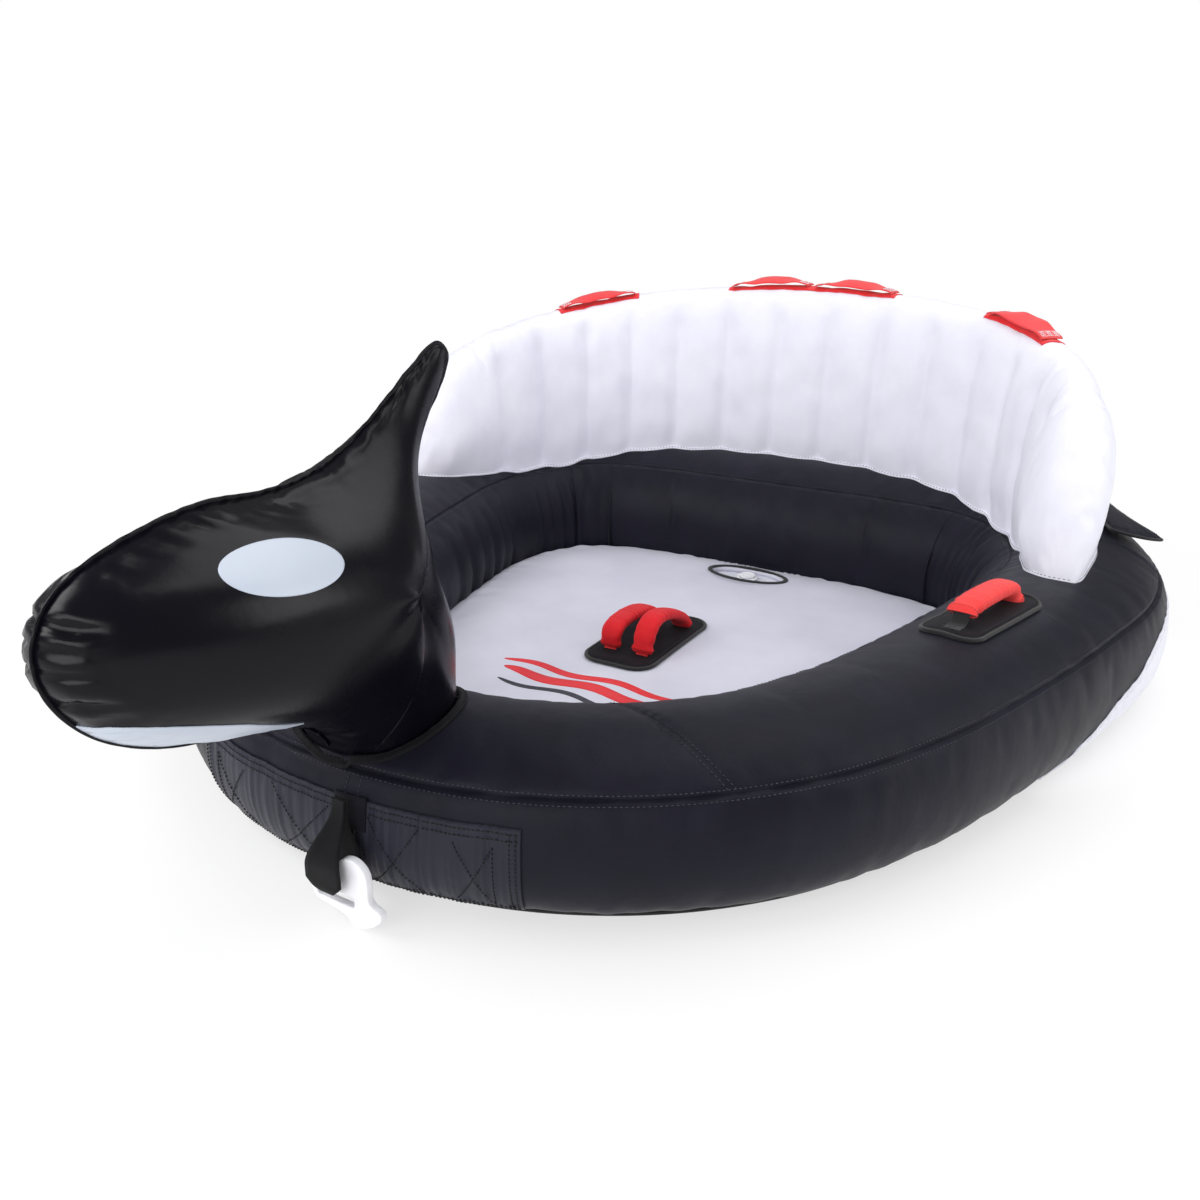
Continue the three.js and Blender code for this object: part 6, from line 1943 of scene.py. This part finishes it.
# ------------------------------------------------------------------ assembly
def add_valves():
    """Each valve stands on its cap's hinge line, facing the way the cap's body and plug lie."""
    for name in ("main", "floor", "backrest", "head"):
        joint = JOINTS[f"{name}_valve_cap_open"]
        hinge, axis = joint_line(joint)
        low, high = node_box(name + "_valve_body")
        cap_low, cap_high = node_box(name + "_valve_cap")
        normal = VALVE_NORMALS[name]
        normal = unit(normal - axis * (normal @ axis))
        across = np.cross(axis, normal)
        centre = (low + high) / 2
        across *= np.sign((centre - hinge) @ across)
        origin = hinge + across * 0.025 - normal * 0.0056
        finish = "white_plastic" if name == "floor" else "valve_plastic"
        add_valve(name, origin, normal, across, finish)


def joint_line(joint):
    return np.array(joint["pos_m"], float), unit(joint["axis"])


VALVE_NORMALS = {
    "main": np.array((-0.475, 0.871, -0.124)),
    "floor": np.array((0.0, 0.0, 1.0)),
    "backrest": np.array((0.0, 1.0, 0.0)),
    "head": np.array((-0.912, 0.411, 0.0085)),
}


def soft_light(name, location, target, size, power, colour=(1, 1, 1)):
    data = bpy.data.lights.new(name, "AREA")
    data.shape = "RECTANGLE"
    data.size, data.size_y = size
    data.energy = power
    data.color = colour
    light = bpy.data.objects.new(name, data)
    light.location = location
    light.rotation_euler = (Vector(target) - Vector(location)).to_track_quat("-Z", "Y").to_euler()
    bpy.context.scene.collection.objects.link(light)


def add_studio():
    half = 20.0
    points = [(-half, -half, 0), (half, -half, 0), (half, half, 0), (-half, half, 0)]
    floor = bare_mesh("studio_floor", points, [(0, 1, 2, 3)])
    floor.data.materials.append(studio_floor_material())
    floor.location.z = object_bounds()[0][2] - 0.0005
    world = bpy.data.worlds.new("studio")
    world.use_nodes = True
    tree = world.node_tree
    rays = tree.nodes.new("ShaderNodeLightPath")
    lit, seen, mirrored = 0.50, 1.0, 0.22

    def times(value, factor):
        node = tree.nodes.new("ShaderNodeMath")
        node.operation = "MULTIPLY_ADD"
        tree.links.new(value, node.inputs[0])
        node.inputs[1].default_value = factor
        return node

    first = times(rays.outputs["Is Camera Ray"], seen - lit)
    first.inputs[2].default_value = lit
    second = times(rays.outputs["Is Glossy Ray"], mirrored - lit)
    tree.links.new(first.outputs[0], second.inputs[2])
    background = tree.nodes["Background"]
    background.inputs["Color"].default_value = (1, 1, 1, 1)
    tree.links.new(second.outputs[0], background.inputs["Strength"])
    bpy.context.scene.world = world
    centre = (0.0, -0.2, 0.25)
    soft_light("key", (-2.2, -2.4, 2.6), centre, (2.2, 1.6), 62)
    soft_light("front", (0.3, -3.6, 1.5), (0.1, 0.5, 0.5), (2.6, 1.4), 45)
    soft_light("top", (0.6, 0.7, 3.4), centre, (3.0, 2.2), 44)
    soft_light("rim", (3.0, 0.4, 1.7), centre, (1.6, 1.6), 26)


def studio_floor_material():
    """Pale floor that turns to plain white away from the object."""
    n = Nodes("studio_floor")
    n.set(Base_Color=(0.95, 0.95, 0.95, 1.0), Roughness=0.9)
    n.shader.inputs["Specular IOR Level"].default_value = 0.0
    length = n.tree.nodes.new("ShaderNodeVectorMath")
    length.operation = "LENGTH"
    n.link(n.coordinates.outputs["Object"], length.inputs[0])
    fade = n.tree.nodes.new("ShaderNodeMapRange")
    fade.interpolation_type = "SMOOTHSTEP"
    fade.inputs["From Min"].default_value = 0.6
    fade.inputs["From Max"].default_value = 1.9
    fade.inputs["To Min"].default_value = 0.55
    n.link(length.outputs["Value"], fade.inputs["Value"])
    white = n.tree.nodes.new("ShaderNodeEmission")
    white.inputs["Strength"].default_value = 1.0
    mix = n.tree.nodes.new("ShaderNodeMixShader")
    n.link(fade.outputs["Result"], mix.inputs[0])
    n.link(n.shader.outputs[0], mix.inputs[1])
    n.link(white.outputs[0], mix.inputs[2])
    n.link(mix.outputs[0], n.tree.nodes["Material Output"].inputs["Surface"])
    return n.material


def add_camera():
    """The camera stands off the front port quarter, a little above the object."""
    azimuth, elevation, roll = (math.radians(a) for a in (30.85, 20.1, 0.48))
    target = Vector((0.035, -0.373, 0.24))
    back = Vector((math.sin(azimuth) * math.cos(elevation), -math.cos(azimuth) * math.cos(elevation), math.sin(elevation)))
    data = bpy.data.cameras.new("camera")
    data.sensor_width = 36.0
    data.lens = 32.16
    camera = bpy.data.objects.new("camera", data)
    camera.location = target + back * 1.866
    turn = back.to_track_quat("Z", "Y").to_matrix().to_4x4()
    camera.rotation_euler = (turn @ Matrix.Rotation(roll, 4, "Z")).to_euler()
    data.shift_x = SHIFT[0]
    data.shift_y = SHIFT[1]
    bpy.context.scene.collection.objects.link(camera)
    bpy.context.scene.camera = camera


SHIFT = (10 / 1200, -2 / 1200)


def build():
    add_cover()
    add_floor()
    add_piping()
    add_main_bladder()
    for side, sign in SIDES:
        add_hull(side, sign)
        add_side_handle(side, sign)
        add_fluke(side, sign)
    add_tow_panels()
    add_zip()
    add_neck_hem()
    add_head()
    add_backrest()
    add_straps()
    add_centre_handles()
    add_tow_strap()
    add_hook()
    add_valves()
    add_floor_print()
    add_studio()
    add_camera()
    bpy.context.scene.view_settings.view_transform = "Standard"


build()
